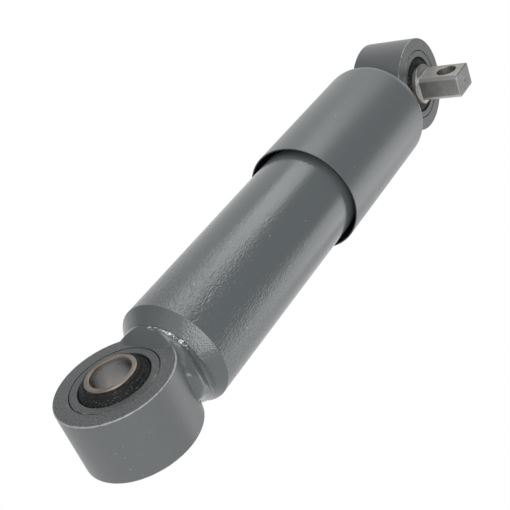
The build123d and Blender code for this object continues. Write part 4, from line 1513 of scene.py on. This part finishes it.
@dataclass
class Studio:
    """Plain studio: a pale floor, white surroundings, soft lamps and the camera."""

    ambient: float = 0.76
    ambient_tint: tuple[float, float, float, float] = colour(0.985, 0.995, 1.0)
    dim_zones: tuple[DimZone, ...] = (
        DimZone(70.0, 25.0, 37.5, 40.5, 0.1),
        DimZone(-40.0, -8.0, 22.0, 46.0, 0.1),
    )
    lens: float = 65.88
    camera_place: tuple[float, float, float] = (0.27757, 0.34671, -0.24001)
    camera_right: tuple[float, float, float] = (-0.34129, 0.80295, 0.48866)
    camera_down: tuple[float, float, float] = (-0.81107, 0.01118, -0.58484)
    camera_forward: tuple[float, float, float] = (-0.47507, -0.59594, 0.64743)
    floor_gap: float = 0.2 * MM
    floor_size: float = 3.0
    floor_shade: float = 0.86
    floor_roughness: float = 0.8
    floor_fade: Band = (0.35, 0.95)
    softboxes: tuple[Softbox, ...] = field(
        default_factory=lambda: (
            Softbox("key_softbox", 4.0, 30.0, 1.4, 0.75, 0.9, 6.2),
            Softbox("side_softbox", 135.0, 40.0, 1.4, 0.8, 0.8, 2.4),
            Softbox("front_softbox", 66.0, -46.0, 1.5, 1.5, 0.6, 14.0),
        )
    )

    def build(self) -> None:
        """Makes the surroundings, floor, lamps and camera."""
        self.build_world()
        self.build_floor()
        low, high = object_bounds()
        for softbox in self.softboxes:
            softbox.build((low + high) / 2)
        self.build_camera()
        bpy.context.scene.view_settings.view_transform = "Standard"

    def build_world(self) -> None:
        """Makes the white surroundings, which dim on the side the camera stands on."""
        world = bpy.data.worlds.new("studio_world")
        bpy.context.scene.world = world
        world.use_nodes = True
        world.node_tree.nodes.clear()
        graph = Graph(world.node_tree)
        direction = graph.add("TexCoord").outputs["Generated"]
        dim: Feed = 1.0
        for zone in self.dim_zones:
            dot = graph.add("VectorMath", operation="DOT_PRODUCT")
            graph.tree.links.new(direction, dot.inputs[0])
            dot.inputs[1].default_value = heading(zone.azimuth, zone.elevation)
            edge, core = math.cos(math.radians(zone.outside)), math.cos(math.radians(zone.inside))
            shaded = graph.spread(dot.outputs["Value"], edge, core, 1.0, zone.level)
            dim = graph.math("MULTIPLY", shaded, dim)
        path = graph.add("LightPath")
        glossy = path.outputs["Is Glossy Ray"]
        dimmed = graph.math("ADD", graph.math("MULTIPLY", dim, glossy), graph.math("SUBTRACT", 1.0, glossy))
        backdrop = graph.add("Background")
        graph.feed(backdrop, Color=grey(1.0), Strength=dimmed)
        surround = graph.add("Background")
        graph.feed(surround, Color=self.ambient_tint, Strength=self.ambient)
        seen = graph.math("ADD", path.outputs["Is Camera Ray"], glossy)
        seen = graph.math("ADD", seen, path.outputs["Is Transmission Ray"])
        mix = graph.add("MixShader")
        graph.tree.links.new(seen, mix.inputs[0])
        graph.tree.links.new(surround.outputs[0], mix.inputs[1])
        graph.tree.links.new(backdrop.outputs[0], mix.inputs[2])
        output = graph.add("OutputWorld")
        graph.tree.links.new(mix.outputs[0], output.inputs["Surface"])

    def build_floor(self) -> None:
        """Makes the pale floor, which is not seen from below."""
        low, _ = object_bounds()
        half = self.floor_size / 2
        level = low.z - self.floor_gap
        mesh = bpy.data.meshes.new("floor")
        corners = [(-half, -half, level), (half, -half, level), (half, half, level), (-half, half, level)]
        mesh.from_pydata(corners, [], [(0, 1, 2, 3)])
        floor = bpy.data.objects.new("floor", mesh)
        bpy.context.scene.collection.objects.link(floor)
        material = bpy.data.materials.new("pale_floor")
        material.use_nodes = True
        graph = Graph(material.node_tree)
        shader = material.node_tree.nodes["Principled BSDF"]
        graph.feed(shader, Base_Color=grey(self.floor_shade), Roughness=self.floor_roughness)
        clear = graph.add("BsdfTransparent")
        mix = graph.add("MixShader")
        vector = graph.add("TexCoord").outputs["Object"]
        reach = graph.add("VectorMath", operation="LENGTH")
        graph.tree.links.new(vector, reach.inputs[0])
        fade_start, fade_end = (share * half for share in self.floor_fade)
        fade = graph.spread(reach.outputs["Value"], fade_start, fade_end)
        unseen = graph.math("SUBTRACT", 1.0, graph.add("LightPath").outputs["Is Camera Ray"])
        hidden = graph.math("MAXIMUM", fade, graph.add("NewGeometry").outputs["Backfacing"])
        hidden = graph.math("MAXIMUM", hidden, unseen)
        graph.tree.links.new(hidden, mix.inputs[0])
        graph.tree.links.new(shader.outputs[0], mix.inputs[1])
        graph.tree.links.new(clear.outputs[0], mix.inputs[2])
        output = material.node_tree.nodes["Material Output"]
        graph.tree.links.new(mix.outputs[0], output.inputs["Surface"])
        mesh.materials.append(material)
        floor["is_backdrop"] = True

    def build_camera(self) -> None:
        """Places the camera at the photograph's viewing angle."""
        lens = bpy.data.cameras.new("camera")
        lens.lens = self.lens
        lens.sensor_width = 36.0
        lens.clip_start = 0.01
        camera = bpy.data.objects.new("camera", lens)
        bpy.context.scene.collection.objects.link(camera)
        right, down, forward = (Vector(v) for v in (self.camera_right, self.camera_down, self.camera_forward))
        turned = Matrix((right, -down, -forward)).transposed().to_4x4()
        camera.matrix_world = Matrix.Translation(self.camera_place) @ turned
        bpy.context.scene.camera = camera


def main() -> None:
    """Builds every piece and the studio."""
    logging.basicConfig(level=logging.INFO, format="%(name)s: %(message)s")
    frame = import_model()
    bench = Bench(frame, Effects())
    finishes = Finishes()
    EyeEnd("lower", Bore.X, bench, finishes, rubber_reach=24.0 * MM).build()
    EyeEnd("upper", Bore.Y, bench, finishes, rubber_reach=20.6 * MM, edge_wear_and_highlight=0.7).build()
    ClampSleeve(bench, finishes).build()
    BarPin(bench, finishes).build()
    ReservoirShell(bench, finishes).build()
    DustCover(bench, finishes).build()
    InnerWorks(bench, finishes).build()
    Studio().build()
    LOG.info("%d pieces", bench.count)


if __name__ == "__main__":
    main()
